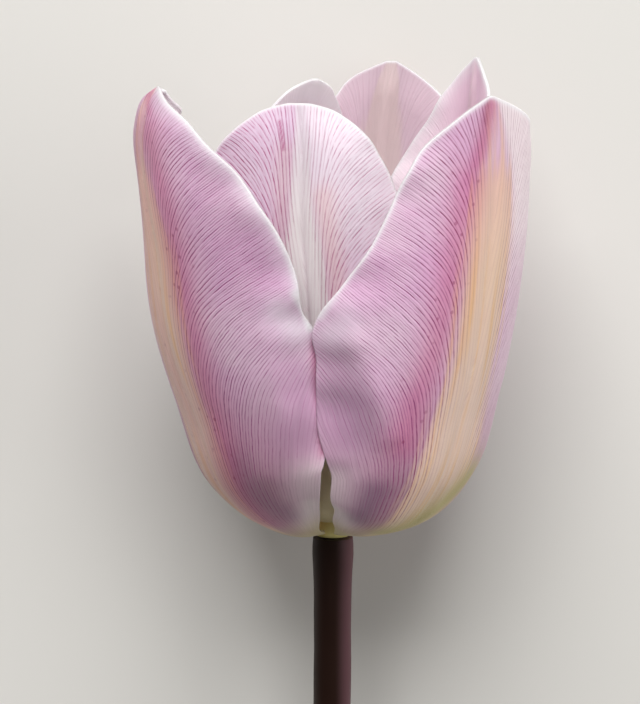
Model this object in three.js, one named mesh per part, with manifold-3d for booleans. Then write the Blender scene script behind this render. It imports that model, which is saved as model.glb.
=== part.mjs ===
// A cut tulip bloom on a bare stem, lying on a table.
// Lengths are in millimetres and angles in degrees. Z is up, the tip of the bloom points along +Y.
//
// The flower is drawn standing along +Y, in a group of its own that lays it down. Each tepal and stamen
// is drawn on the +Z side (across along X, height along Y, radius along Z) and turned to its azimuth.
// Azimuth 0 is the side of the bloom that faces up, and azimuths grow towards +X.

import * as THREE from 'three';
import Module from 'manifold-3d';

// Pose
const TILT = 7.5; // the bloom end of the axis is higher than the cut end
const AXIS_HEIGHT = 19.9; // height of the axis above the table at the foot of the bloom
const FLATTEN = 0.7; // how softly the table rounds off the pressed belly of the back tepal
const ORIGIN = [0.28, 33.8]; // shift that brings the middle of the whole flower over the origin

// Tepals: thickness
const TEPAL_THICKNESS = 0.75;
const MARGIN_THICKNESS = 0.62;
const ROWS = 26; // cells from foot to tip
const COLUMNS = 16; // cells from margin to margin
const TIP_CROWDING = 1.25; // above 1, rows lie closer together towards the tip

// Tepals: shape. Every list runs from the foot (0) to the tip (1) of the tepal.
// spine: radius and height of the middle line.   lean: sideways shift of the middle line.
// left, right: half width along the surface.     bend: radius of the cross-section.
// tuck: how far a margin is pushed in.
// folds: ridges, or hollows where the height is below 0, along lines of [across, along] on the face.
const OUTER_BEND = [[0, 8], [0.15, 20], [0.35, 23], [0.6, 23], [1, 21.5]];
const INNER_BEND = [[0, 8], [0.2, 18], [0.4, 22], [1, 21.5]];

const TEPALS = {
  outer_tepal_left: {
    azimuth: -61.4,
    spine: [[3, 0.8], [5.8, 0.8], [12.2, 3.2], [18.2, 8.4], [23.1, 20.5], [26.2, 31], [27.9, 43],
      [28.9, 53], [28.9, 61], [27.8, 65]],
    lean: [[0, 0], [0.3, 1.2], [0.6, 0.5], [0.8, 1.4], [0.92, -0.2], [1, -0.8]],
    left: [[0, 3], [0.1, 8.6], [0.2, 14.5], [0.35, 21], [0.5, 24], [0.65, 24.5], [0.8, 23.5],
      [0.88, 21.5], [0.94, 16.5], [0.98, 10], [1, 0.4]],
    right: [[0, 3], [0.05, 6.6], [0.1, 11.5], [0.16, 16], [0.22, 18.9], [0.28, 20.3], [0.35, 21.5],
      [0.42, 22.6], [0.48, 23.7], [0.54, 24.4], [0.575, 23.7], [0.65, 23.3], [0.72, 21.5], [0.79, 18.8],
      [0.86, 15.5], [0.91, 11.6], [0.95, 8.4], [0.98, 3.4], [1, 0.4]],
    bend: OUTER_BEND,
    tuckRight: [[0, 0], [0.24, 0], [0.33, 2.2], [0.44, 3], [0.53, 2.7], [0.61, 0.3], [0.68, 0], [1, 0]],
    tuckLeft: [[0, 0], [0.82, 0], [0.86, 0], [0.9, 1], [0.94, 3.4], [0.97, 6], [0.988, 6.2], [1, 1.6]],
    folds: [{ height: -0.6, width: 3.4, line: [[21, 37], [21.2, 36]] },
      { height: 0.35, width: 2.2, line: [[17.5, 30], [12, 21]] }],
  },
  outer_tepal_right: {
    azimuth: 46.7,
    spine: [[3, 0.8], [9, 1.6], [15.2, 3.9], [19.8, 9.4], [23.4, 20.5], [25.9, 31], [27.7, 43],
      [28.6, 53], [29.2, 61], [29.4, 64.8]],
    lean: [[0, 0], [0.3, 0.4], [0.6, 1.1], [0.8, 1.3], [0.92, 0.9], [1, 0]],
    left: [[0, 2.2], [0.05, 5.6], [0.1, 10.2], [0.15, 13.6], [0.2, 16], [0.25, 17.3], [0.31, 19.2],
      [0.38, 21.5], [0.45, 22.8], [0.5, 23.6], [0.54, 24.6], [0.58, 24.3], [0.65, 21.5], [0.72, 18.5],
      [0.79, 16.2], [0.86, 13.9], [0.91, 11.5], [0.95, 7.6], [0.98, 3.8], [1, 0.4]],
    right: [[0, 2.8], [0.1, 7], [0.2, 12.8], [0.35, 20.3], [0.5, 25], [0.65, 26.7], [0.8, 25.5],
      [0.88, 21.8], [0.93, 16.1], [0.97, 7.5], [1, 0.4]],
    bend: OUTER_BEND,
    folds: [{ height: -0.5, width: 4, line: [[-20.5, 37], [-18.5, 31]] },
      { height: 0.5, width: 2.2, line: [[-18.2, 41], [-16.5, 38], [-11.3, 29]] },
      { height: 0.4, width: 2.6, line: [[-18.5, 29], [-17.5, 25]] }],
  },
  outer_tepal_back: {
    azimuth: 167,
    spine: [[3, 0.8], [7.5, 1.3], [13, 3.6], [18.6, 9.2], [23.3, 20.5], [25.8, 31], [26.6, 43],
      [26.2, 53], [25.3, 60], [24.3, 67.3]],
    lean: [[0, 0], [0.3, -0.1], [0.6, -0.4], [0.8, -1.1], [0.92, -2.3], [1, -3.4]],
    left: [[0, 2.8], [0.1, 8.4], [0.2, 14.4], [0.35, 20.6], [0.5, 23.3], [0.65, 22.1], [0.78, 18.1],
      [0.87, 13.9], [0.93, 9.8], [0.975, 4.4], [1, 0.8]],
    right: [[0, 3], [0.1, 8.6], [0.2, 14], [0.35, 19.4], [0.5, 21.1], [0.65, 19.4], [0.78, 15.2],
      [0.87, 11.1], [0.93, 7.9], [0.975, 5], [1, 0.8]],
    bend: OUTER_BEND,
    rests: true,
  },
  inner_tepal_front: {
    azimuth: -7.5,
    spine: [[3, 2.9], [6, 3.4], [11, 5.8], [15.2, 11.2], [18.2, 20], [19.9, 31], [20.8, 42],
      [20.6, 52], [18.9, 60], [16.7, 63.6]],
    lean: [[0, 0], [0.3, 0], [0.6, -0.3], [0.8, -1.3], [0.92, -1.8], [1, -2.6]],
    left: [[0, 2.2], [0.1, 6], [0.2, 11], [0.35, 16.6], [0.5, 19.3], [0.65, 20], [0.75, 19.1],
      [0.83, 17.1], [0.89, 14.6], [0.94, 11.2], [0.975, 7.4], [0.992, 4.4], [1, 1.6]],
    right: [[0, 2.2], [0.1, 6], [0.2, 10.2], [0.35, 15], [0.5, 16.5], [0.65, 16], [0.75, 14.3],
      [0.83, 12.8], [0.89, 11], [0.94, 9], [0.975, 6.4], [0.992, 4], [1, 1.6]],
    bend: INNER_BEND,
  },
  inner_tepal_right: {
    azimuth: 111.8,
    spine: [[3, 2.9], [6, 3.3], [11, 5.6], [15.5, 11.2], [18.7, 20], [20.7, 31], [21.7, 42],
      [22.2, 52], [22.3, 61], [22.2, 68.6]],
    lean: [[0, 0], [0.6, 0.4], [0.8, 0.5], [1, -0.5]],
    left: [[0, 2.2], [0.1, 6], [0.2, 11], [0.35, 17], [0.5, 19.9], [0.65, 19.8], [0.74, 17.6],
      [0.82, 14.2], [0.88, 10.4], [0.93, 6.7], [0.97, 3], [1, 0.5]],
    right: [[0, 2.2], [0.1, 6], [0.2, 10], [0.35, 15], [0.5, 17.6], [0.65, 18.8], [0.74, 17.4],
      [0.82, 14], [0.88, 10.5], [0.93, 7.8], [0.97, 4.3], [1, 0.5]],
    bend: INNER_BEND,
  },
  inner_tepal_left: {
    azimuth: -140.5,
    spine: [[3, 2.9], [6, 3.4], [11, 5.8], [15.5, 11.2], [18.8, 20], [19.8, 31], [19.1, 42],
      [16.6, 52], [12, 60], [7.4, 65.6]],
    lean: [[0, 0], [0.3, -0.4], [0.6, -1], [0.8, -2], [0.92, -3.2], [1, -2.7]],
    left: [[0, 2.2], [0.1, 6], [0.2, 10], [0.35, 14.8], [0.5, 17], [0.65, 17], [0.8, 13],
      [0.9, 8], [0.955, 5], [0.985, 2.9], [1, 0.6]],
    right: [[0, 2.2], [0.1, 6], [0.2, 10.7], [0.35, 16.3], [0.5, 18.9], [0.65, 17.9], [0.8, 13.3],
      [0.9, 8.6], [0.955, 6.2], [0.985, 3.6], [1, 0.6]],
    bend: INNER_BEND,
  },
};

// Stem: a bare round stalk. It drifts sideways and lifts a little towards the cut end.
const STEM_LENGTH = 138;
const STEM_TOP = 0.1;
const STEM_SIDES = 20;
const STEM_RADIUS = [[-138, 2.95], [-45, 2.75], [-20, 2.72], [-5, 2.8], [-1.2, 2.95], [0.1, 2.85]];
const STEM_SWAY = -3.5;
const STEM_LIFT = 1.07;

// Receptacle: the knob that carries the tepals, the stamens and the ovary. Heights and radii.
const RECEPTACLE = [[0.4, 2.3], [0.9, 2.42], [3.4, 2.42], [4.4, 1.6]];

// Ovary and stigma: fractions of their height with fractions of their radius
const OVARY_FOOT = 5.1;
const OVARY_TOP = 26;
const OVARY_RADIUS = 3.1;
const OVARY_CORNER = 0.14; // how much the three corners stand out
const OVARY_PROFILE = [[0, 0.42], [0.08, 0.68], [0.2, 0.93], [0.4, 1], [0.65, 0.97], [0.88, 0.86], [1, 0.7]];
const STIGMA_FOOT = 26.3;
const STIGMA_TOP = 29.5;
const STIGMA_RADIUS = 3.7;
const STIGMA_LOBE = 0.32; // how much the three lobes stand out
const STIGMA_PROFILE = [[0, 0.6], [0.3, 0.9], [0.65, 1], [0.9, 0.8], [1, 0.45]];

// Stamens: their paths as radii from the axis and heights
const STAMENS = 6;
const FIRST_STAMEN = 30; // azimuth
const FILAMENT_PATH = [[1.4, 3.7], [3.2, 5.3], [4.3, 7.1], [5.2, 9.8], [5.9, 13.5]];
const FILAMENT_RADIUS = [0.6, 0.62, 0.65, 0.6, 0.42];
const ANTHER_PATH = [[6, 13.9], [6.2, 15.3], [6.7, 20], [7.2, 24.6], [7.4, 26.4]];
const ANTHER_WIDTH = [0.8, 1.3, 1.35, 1.15, 0.5];
const ANTHER_DEPTH = [0.5, 0.8, 0.85, 0.72, 0.35];

const radians = (degrees) => (degrees * Math.PI) / 180;

// Smooth curve through stations of the form [position, value] or [position, value, value].
function curve(stations, x, column = 1) {
  const last = stations.length - 1;
  let i = 0;
  while (i < last - 1 && x > stations[i + 1][0]) i += 1;
  const gap = (k) => stations[k + 1][0] - stations[k][0];
  const secant = (k) => (stations[k + 1][column] - stations[k][column]) / gap(k);
  const slope = (k) => {
    if (k === 0) return secant(0);
    if (k === last) return secant(last - 1);
    return (secant(k - 1) * gap(k) + secant(k) * gap(k - 1)) / (gap(k - 1) + gap(k));
  };
  const span = gap(i);
  const u = Math.min(1, Math.max(0, (x - stations[i][0]) / span));
  const a = stations[i][column];
  const b = stations[i + 1][column];
  return (2 * u ** 3 - 3 * u ** 2 + 1) * a + (u ** 3 - 2 * u ** 2 + u) * span * slope(i)
    + (3 * u ** 2 - 2 * u ** 3) * b + (u ** 3 - u ** 2) * span * slope(i + 1);
}

// The spine as stations of [fraction of its length, radius, height], and its length.
function spineStations(points) {
  const along = [0];
  for (let i = 1; i < points.length; i += 1) {
    along.push(along[i - 1] + Math.hypot(points[i][0] - points[i - 1][0], points[i][1] - points[i - 1][1]));
  }
  const length = along[along.length - 1];
  return { stations: points.map((p, i) => [along[i] / length, p[0], p[1]]), length };
}

// 1 on a line of [across, along] points on a tepal's face, fading out over a width.
function nearLine(across, along, line, width) {
  let nearest = Infinity;
  for (let i = 0; i < line.length - 1; i += 1) {
    const [a, b] = line[i];
    const [c, d] = line[i + 1];
    const t = ((across - a) * (c - a) + (along - b) * (d - b)) / ((c - a) ** 2 + (d - b) ** 2);
    const u = Math.min(1, Math.max(0, t));
    nearest = Math.min(nearest, Math.hypot(across - a - u * (c - a), along - b - u * (d - b)));
  }
  return Math.exp(-((nearest / width) ** 2));
}

// A point of a tepal's outer face at v (foot to tip) and s (left margin -1, right margin 1).
function facePoint(tepal, v, s) {
  const step = 0.001;
  const low = Math.max(0, v - step);
  const high = Math.min(1, v + step);
  const dr = curve(tepal.stations, high, 1) - curve(tepal.stations, low, 1);
  const dz = curve(tepal.stations, high, 2) - curve(tepal.stations, low, 2);
  const size = Math.hypot(dr, dz);
  const bend = curve(tepal.bend, v);
  const across = s * Math.max(0.2, curve(s > 0 ? tepal.right : tepal.left, v));
  const angle = across / bend;
  let hollow = 0;
  if (tepal.tuckRight && s > 0.7) hollow += curve(tepal.tuckRight, v) * ((s - 0.7) / 0.3) ** 2;
  if (tepal.tuckLeft && s < -0.5) hollow += curve(tepal.tuckLeft, v) * ((s + 0.5) / 0.5) ** 2;
  for (const fold of tepal.folds ?? []) {
    hollow -= fold.height * nearLine(across, v * tepal.length, fold.line, fold.width);
  }
  const depth = bend * (1 - Math.cos(angle)) + hollow * Math.cos(angle);
  return new THREE.Vector3(
    bend * Math.sin(angle) - hollow * Math.sin(angle) + curve(tepal.lean, v),
    curve(tepal.stations, v, 2) + (dr / size) * depth,
    curve(tepal.stations, v, 1) - (dz / size) * depth,
  );
}

// The unit normal of that face, towards the inside of the bloom.
function inwardNormal(tepal, v, s) {
  const small = 0.004;
  const above = facePoint(tepal, Math.min(1, v + small), s);
  const below = facePoint(tepal, Math.max(0, v - small), s);
  const right = facePoint(tepal, v, Math.min(1, s + small));
  const left = facePoint(tepal, v, Math.max(-1, s - small));
  return above.sub(below).cross(right.sub(left)).normalize();
}

// Heights below the table come up to it, with a soft change of slope.
function pressed(height) {
  if (height <= -FLATTEN) return 0;
  if (height >= FLATTEN) return height;
  return (height + FLATTEN) ** 2 / (4 * FLATTEN);
}

// Presses a point of a turned tepal against the table, with its height taken `above` the face that rests.
function pressPoint(point, frame, above) {
  const onTable = point.applyMatrix4(frame);
  onTable.z = above + pressed(onTable.z - above);
  return onTable.applyMatrix4(frame.clone().invert());
}

// A closed body from points and triangles, with its faces outward.
function solid(points, faces) {
  let volume = 0;
  for (const [a, b, c] of faces) {
    volume += points[a].dot(new THREE.Vector3().crossVectors(points[b], points[c])) / 6;
  }
  const wound = volume < 0 ? faces.map(([a, b, c]) => [a, c, b]) : faces;
  const geometry = new THREE.BufferGeometry();
  const numbers = points.flatMap((p) => [p.x, p.y, p.z]);
  geometry.setAttribute('position', new THREE.Float32BufferAttribute(numbers, 3));
  geometry.setIndex(wound.flat());
  geometry.computeVertexNormals();
  return geometry;
}

// A thin closed shell: the outer face, an inner face a thickness away, and a rim between them.
// A tepal that rests is pressed flat where its frame would take it below the table.
function tepalSolid(source, frame) {
  const tepal = { ...source, ...spineStations(source.spine) };
  const outer = [];
  const inner = [];
  for (let i = 0; i <= ROWS; i += 1) {
    const v = 1 - (1 - i / ROWS) ** TIP_CROWDING;
    for (let j = 0; j <= COLUMNS; j += 1) {
      const s = (2 * j) / COLUMNS - 1;
      const p = facePoint(tepal, v, s);
      const thickness = TEPAL_THICKNESS + (MARGIN_THICKNESS - TEPAL_THICKNESS) * s ** 4;
      const q = p.clone().addScaledVector(inwardNormal(tepal, v, s), thickness);
      outer.push(tepal.rests ? pressPoint(p, frame, 0) : p);
      inner.push(tepal.rests ? pressPoint(q, frame, thickness) : q);
    }
  }
  const count = outer.length;
  const at = (i, j) => i * (COLUMNS + 1) + j;
  const faces = [];
  for (let i = 0; i < ROWS; i += 1) {
    for (let j = 0; j < COLUMNS; j += 1) {
      const [a, b, c, d] = [at(i, j), at(i, j + 1), at(i + 1, j + 1), at(i + 1, j)];
      faces.push([a, b, c], [a, c, d]);
      faces.push([a + count, c + count, b + count], [a + count, d + count, c + count]);
    }
  }
  const rim = [];
  for (let j = 0; j < COLUMNS; j += 1) rim.push([at(0, j), at(0, j + 1)]);
  for (let i = 0; i < ROWS; i += 1) rim.push([at(i, COLUMNS), at(i + 1, COLUMNS)]);
  for (let j = COLUMNS; j > 0; j -= 1) rim.push([at(ROWS, j), at(ROWS, j - 1)]);
  for (let i = ROWS; i > 0; i -= 1) rim.push([at(i, 0), at(i - 1, 0)]);
  for (const [a, b] of rim) faces.push([b, a, a + count], [b, a + count, b + count]);
  return solid([...outer, ...inner], faces);
}

// A closed body from rings of equal length, with a point at each end.
function ringed(rings, first, lastPoint) {
  const sides = rings[0].length;
  const points = [...rings.flat(), first, lastPoint];
  const faces = [];
  for (let i = 0; i < rings.length - 1; i += 1) {
    for (let j = 0; j < sides; j += 1) {
      const a = i * sides + j;
      const b = i * sides + ((j + 1) % sides);
      faces.push([a, b, b + sides], [a, b + sides, a + sides]);
    }
  }
  const foot = rings.length * sides;
  const top = (rings.length - 1) * sides;
  for (let j = 0; j < sides; j += 1) {
    const next = (j + 1) % sides;
    faces.push([foot, next, j], [foot + 1, top + j, top + next]);
  }
  return solid(points, faces);
}

// A level ring round a centre.
function levelRing(x, y, z, sides, radiusAt) {
  const ring = [];
  for (let j = 0; j < sides; j += 1) {
    const turn = (2 * Math.PI * j) / sides;
    const radius = radiusAt(turn);
    ring.push(new THREE.Vector3(x + radius * Math.sin(turn), y, z + radius * Math.cos(turn)));
  }
  return ring;
}

const axisPoint = (height) => new THREE.Vector3(0, height, 0);

function stemSolid() {
  const centre = (y) => {
    const t = Math.min(0, y) / STEM_LENGTH;
    return [STEM_SWAY * t * t, STEM_LIFT * t * t];
  };
  const heights = [];
  for (let k = 0; k <= 16; k += 1) heights.push(-STEM_LENGTH + ((STEM_LENGTH - 5) * k) / 16);
  heights.push(-3, -1.2, STEM_TOP);
  const rings = heights.map((y) => {
    const [x, z] = centre(y);
    return levelRing(x, y, z, STEM_SIDES, () => curve(STEM_RADIUS, y));
  });
  const [x, z] = centre(-STEM_LENGTH);
  return ringed(rings, new THREE.Vector3(x, -STEM_LENGTH, z), axisPoint(STEM_TOP));
}

// A column round the axis with three rounded corners or lobes.
function threeSided(foot, top, radius, profile, corner, sides) {
  const rings = profile.map(([t, scale]) => levelRing(0, foot + (top - foot) * t, 0, sides,
    (turn) => radius * scale * (1 + corner * Math.cos(3 * turn))));
  return ringed(rings, axisPoint(foot), axisPoint(top));
}

function ovarySolid() {
  return threeSided(OVARY_FOOT, OVARY_TOP, OVARY_RADIUS, OVARY_PROFILE, OVARY_CORNER, 18);
}

function stigmaSolid() {
  return threeSided(STIGMA_FOOT, STIGMA_TOP, STIGMA_RADIUS, STIGMA_PROFILE, STIGMA_LOBE, 24);
}

// A tapered rod on the +Z side, along a path of radii and heights.
function rod(path, width, depth, sides) {
  const rings = path.map(([radius, height], k) => {
    const before = path[Math.max(0, k - 1)];
    const after = path[Math.min(path.length - 1, k + 1)];
    const size = Math.hypot(after[0] - before[0], after[1] - before[1]);
    const out = [(after[1] - before[1]) / size, (before[0] - after[0]) / size];
    const ring = [];
    for (let j = 0; j < sides; j += 1) {
      const angle = (2 * Math.PI * j) / sides;
      const reach = depth[k] * Math.cos(angle);
      const across = width[k] * Math.sin(angle);
      ring.push(new THREE.Vector3(across, height + out[1] * reach, radius + out[0] * reach));
    }
    return ring;
  });
  const [first, last] = [path[0], path[path.length - 1]];
  return ringed(rings, new THREE.Vector3(0, first[1], first[0]), new THREE.Vector3(0, last[1], last[0]));
}

const stamenTurn = (k) => radians(FIRST_STAMEN + (360 * k) / STAMENS);

const wasm = await Module();
wasm.setup();

function toManifold(geometry) {
  return new wasm.Manifold(new wasm.Mesh({
    numProp: 3,
    vertProperties: geometry.getAttribute('position').array,
    triVerts: new Uint32Array(geometry.index.array),
  }));
}

function fromManifold(body) {
  const { vertProperties, triVerts } = body.getMesh();
  const geometry = new THREE.BufferGeometry();
  geometry.setAttribute('position', new THREE.BufferAttribute(vertProperties, 3));
  geometry.setIndex(new THREE.BufferAttribute(triVerts, 1));
  geometry.computeVertexNormals();
  return geometry;
}

// The receptacle with the six filaments that grow out of it, in one body.
function receptacleSolid() {
  const rings = RECEPTACLE.map(([height, radius]) => levelRing(0, height, 0, STEM_SIDES, () => radius));
  const foot = RECEPTACLE[0][0];
  const top = RECEPTACLE[RECEPTACLE.length - 1][0];
  let body = toManifold(ringed(rings, axisPoint(foot), axisPoint(top)));
  for (let k = 0; k < STAMENS; k += 1) {
    const filament = rod(FILAMENT_PATH, FILAMENT_RADIUS, FILAMENT_RADIUS, 8).rotateY(stamenTurn(k));
    body = body.add(toManifold(filament));
  }
  return fromManifold(body);
}

function outerTepalMaterial() {
  return new THREE.MeshStandardMaterial({ color: '#d5acc8', roughness: 0.55, metalness: 0 });
}

function innerTepalMaterial() {
  return new THREE.MeshStandardMaterial({ color: '#e3c6d8', roughness: 0.55, metalness: 0 });
}

function stemMaterial() {
  return new THREE.MeshStandardMaterial({ color: '#3a262b', roughness: 0.5, metalness: 0 });
}

function ovaryMaterial() {
  return new THREE.MeshStandardMaterial({ color: '#a9b77a', roughness: 0.5, metalness: 0 });
}

function stigmaMaterial() {
  return new THREE.MeshStandardMaterial({ color: '#e9e0b4', roughness: 0.7, metalness: 0 });
}

function receptacleMaterial() {
  return new THREE.MeshStandardMaterial({ color: '#d8d2bd', roughness: 0.5, metalness: 0 });
}

function antherMaterial() {
  return new THREE.MeshStandardMaterial({ color: '#3b2a44', roughness: 0.85, metalness: 0 });
}

function mesh(name, geometry, material) {
  const piece = new THREE.Mesh(geometry, material);
  piece.name = name;
  return piece;
}

function tepal(name, shape, pose) {
  const material = name.startsWith('outer') ? outerTepalMaterial() : innerTepalMaterial();
  const turn = radians(shape.azimuth);
  const frame = new THREE.Matrix4().multiplyMatrices(pose, new THREE.Matrix4().makeRotationY(turn));
  const piece = mesh(name, tepalSolid(shape, frame), material);
  piece.rotation.y = turn;
  return piece;
}

function anther(k) {
  const piece = mesh(`anther_${k + 1}`, rod(ANTHER_PATH, ANTHER_WIDTH, ANTHER_DEPTH, 10), antherMaterial());
  piece.rotation.y = stamenTurn(k);
  return piece;
}

// The flower standing along +Y, in the group that lays it down on the table.
const flower = new THREE.Group();
flower.rotation.x = radians(TILT);
flower.position.set(ORIGIN[0], ORIGIN[1], AXIS_HEIGHT);
flower.updateMatrix();

for (const [name, shape] of Object.entries(TEPALS)) flower.add(tepal(name, shape, flower.matrix));
flower.add(mesh('stem', stemSolid(), stemMaterial()));
flower.add(mesh('receptacle', receptacleSolid(), receptacleMaterial()));
flower.add(mesh('ovary', ovarySolid(), ovaryMaterial()));
flower.add(mesh('stigma', stigmaSolid(), stigmaMaterial()));
for (let k = 0; k < STAMENS; k += 1) flower.add(anther(k));

const group = new THREE.Group();
group.name = 'cut_tulip';
group.add(flower);

export default group;
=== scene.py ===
"""The looks of a cut tulip bloom that lies on a table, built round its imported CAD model.

The bloom is worked out in millimetres, standing along +Y: across along X, height along Y, radius
along Z. Each part is turned to its azimuth, laid down as the CAD model is, and made metres last.
"""

import math
from functools import partial

import bpy
import numpy as np
from mathutils import Matrix, Vector
from mathutils.kdtree import KDTree


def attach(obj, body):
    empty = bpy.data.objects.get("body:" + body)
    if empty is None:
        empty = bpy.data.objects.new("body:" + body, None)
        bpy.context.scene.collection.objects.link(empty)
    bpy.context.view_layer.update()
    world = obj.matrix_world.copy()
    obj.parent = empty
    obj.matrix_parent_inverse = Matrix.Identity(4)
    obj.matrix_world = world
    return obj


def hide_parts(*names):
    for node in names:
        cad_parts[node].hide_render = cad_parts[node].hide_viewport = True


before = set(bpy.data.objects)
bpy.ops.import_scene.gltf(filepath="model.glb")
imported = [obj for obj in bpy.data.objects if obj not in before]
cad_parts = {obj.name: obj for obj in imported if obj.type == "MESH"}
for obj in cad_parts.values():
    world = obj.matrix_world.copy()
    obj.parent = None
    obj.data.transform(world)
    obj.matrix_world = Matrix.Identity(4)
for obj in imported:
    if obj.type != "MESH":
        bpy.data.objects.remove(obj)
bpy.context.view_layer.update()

bl_info = {
    "name": "Cut Tulip",
    "version": (1, 0, 0),
    "blender": (4, 5, 0),
    "location": "3D View > Sidebar > Tulip",
    "description": "Builds a veined tulip bloom on a cut stem round its CAD frame",
    "category": "Add Mesh",
}

MM = 0.001
SEED = 7
TINY = 1e-9

# Pose, as in the CAD model
TILT = math.radians(7.5)
AXIS_HEIGHT = 19.9
FLATTEN = 0.7
ORIGIN = (0.28, 33.8)

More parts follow.
